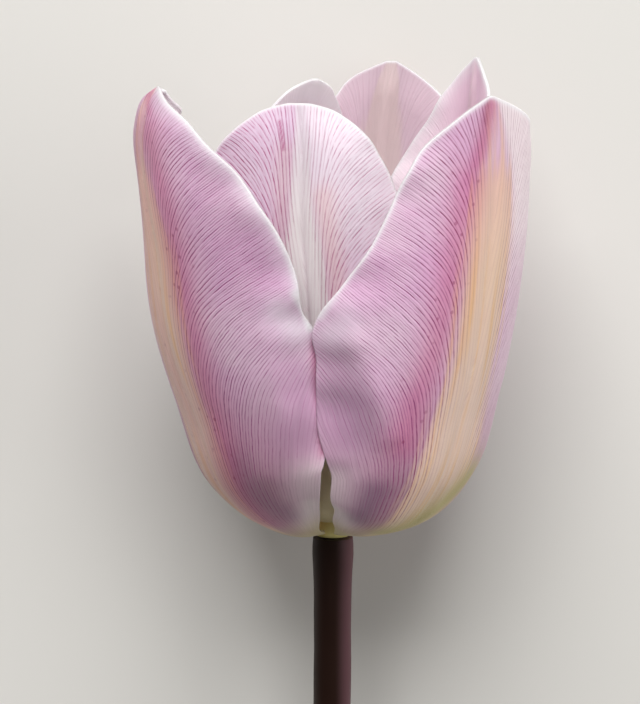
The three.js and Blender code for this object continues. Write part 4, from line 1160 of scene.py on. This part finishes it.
class TULIP_OT_stigma(bpy.types.Operator):
    """Adds the three-lobed stigma with its papillae"""

    bl_idname = "tulip.stigma"
    bl_label = "Stigma"

    def execute(self, context):
        source = three_sided("stigma_lobes", STIGMA, STIGMA_PROFILE, sides=72, levels=20, groove=0.5)
        piece = grown("stigma_velvet", source, grain_tree(), {"Density": 1.4e7, "Seed": SEED,
                      "Size": context.scene.tulip_heart.papilla,
                      "Material": velvet("cream_papillae", "#ece4bb", "#d9cd95")})
        settle(piece, None, "stigma", "stigma")
        return {"FINISHED"}


class TULIP_OT_anthers(bpy.types.Operator):
    """Adds the six anthers with their pollen"""

    bl_idname = "tulip.anthers"
    bl_label = "Anthers"

    def execute(self, context):
        dust = velvet("dark_pollen", "#3a2a45", "#55405c")
        tree = grain_tree()
        for k, azimuth in enumerate(STAMEN_TURNS):
            source = rings_object(f"anther_body_{k + 1}", anther_rings(azimuth))
            piece = grown(f"anther_pollen_{k + 1}", source, tree, {"Density": 8e6, "Seed": SEED + k,
                          "Size": context.scene.tulip_heart.grain, "Material": dust})
            settle(piece, None, "anther", f"anther_{k + 1}")
        return {"FINISHED"}


def stage_point(across, height, out):
    """A point of the standing flower's frame as metres on the table."""
    return Vector(laid(np.array([across, height, out], float))) * MM


class TULIP_OT_stage(bpy.types.Operator):
    """Adds the floor, the lights and the camera of the photograph's view"""

    bl_idname = "tulip.stage"
    bl_label = "Stage"

    def execute(self, context):
        look = context.scene.tulip_stage
        corners = np.array([(-1, -1, 0), (1, -1, 0), (1, 1, 0), (-1, 1, 0)]) * FLOOR_REACH
        mesh = bpy.data.meshes.new("floor")
        mesh.from_pydata((corners - (0, 0, FLOOR_DROP)).tolist(), [], [(0, 1, 2, 3)])
        surface = {"Base Color": linear(look.floor), "Roughness": 0.9}
        mesh.materials.append(finished(*new_material("matt_floor"), surface))
        placed("floor", mesh)

        world = bpy.data.worlds.new("soft_studio")
        world.use_nodes = True
        world.node_tree.nodes["Background"].inputs[0].default_value = SOFT_WHITE
        world.node_tree.nodes["Background"].inputs[1].default_value = look.fill
        context.scene.world = world

        target = stage_point(*LIT_POINT)
        for name, (place, size, share) in LIGHTS.items():
            lamp = bpy.data.lights.new(name, "AREA")
            lamp.size = size
            lamp.energy = look.key * share
            light = placed(name, lamp)
            light.location = place
            light.rotation_euler = (target - Vector(place)).to_track_quat("-Z", "Y").to_euler()

        lens = bpy.data.cameras.new("photo_view")
        lens.sensor_width = SENSOR
        lens.lens = SENSOR * DISTANCE * PIXELS_PER_MM / max(PICTURE)
        camera = placed("photo_view", lens)
        x, y, z = LOOK_AT
        eye = stage_point(x, y + DISTANCE * math.sin(RISE), z + DISTANCE * math.cos(RISE))
        at = stage_point(x, y, z)
        top = stage_point(x, y + math.cos(RISE), z - math.sin(RISE)) - at
        back = (eye - at).normalized()
        right = top.cross(back).normalized()
        turn = Matrix((right, back.cross(right), back)).transposed().to_4x4()
        camera.matrix_world = Matrix.Translation(eye) @ turn
        context.scene.camera = camera
        context.scene.view_settings.view_transform = "Standard"
        return {"FINISHED"}


class TULIP_PT_panel(bpy.types.Panel):
    """Lists the flower's pieces and their settings"""

    bl_label = "Cut Tulip"
    bl_idname = "TULIP_PT_panel"
    bl_space_type = "VIEW_3D"
    bl_region_type = "UI"
    bl_category = "Tulip"

    def draw(self, context):
        layout = self.layout
        for operator in OPERATORS:
            layout.operator(operator.bl_idname)
        for name, group in GROUPS.items():
            box = layout.box()
            for key in group.__annotations__:
                box.prop(getattr(context.scene, name), key)


OPERATORS = (TULIP_OT_outer_tepals, TULIP_OT_inner_tepals, TULIP_OT_stem, TULIP_OT_receptacle,
             TULIP_OT_ovary, TULIP_OT_stigma, TULIP_OT_anthers, TULIP_OT_stage)
GROUPS = {"tulip_tepals": TulipTepals, "tulip_stem": TulipStem, "tulip_heart": TulipHeart,
          "tulip_stage": TulipStage}


def register():
    for cls in (*GROUPS.values(), *OPERATORS, TULIP_PT_panel):
        bpy.utils.register_class(cls)
    for name, group in GROUPS.items():
        setattr(bpy.types.Scene, name, bpy.props.PointerProperty(type=group))


def unregister():
    for name in GROUPS:
        delattr(bpy.types.Scene, name)
    for cls in reversed((*GROUPS.values(), *OPERATORS, TULIP_PT_panel)):
        bpy.utils.unregister_class(cls)


def main():
    register()
    bpy.ops.tulip.stage()
    bpy.ops.tulip.outer_tepals()
    bpy.ops.tulip.inner_tepals()
    bpy.ops.tulip.stem()
    bpy.ops.tulip.receptacle()
    bpy.ops.tulip.ovary()
    bpy.ops.tulip.stigma()
    bpy.ops.tulip.anthers()


if __name__ == "__main__":
    main()
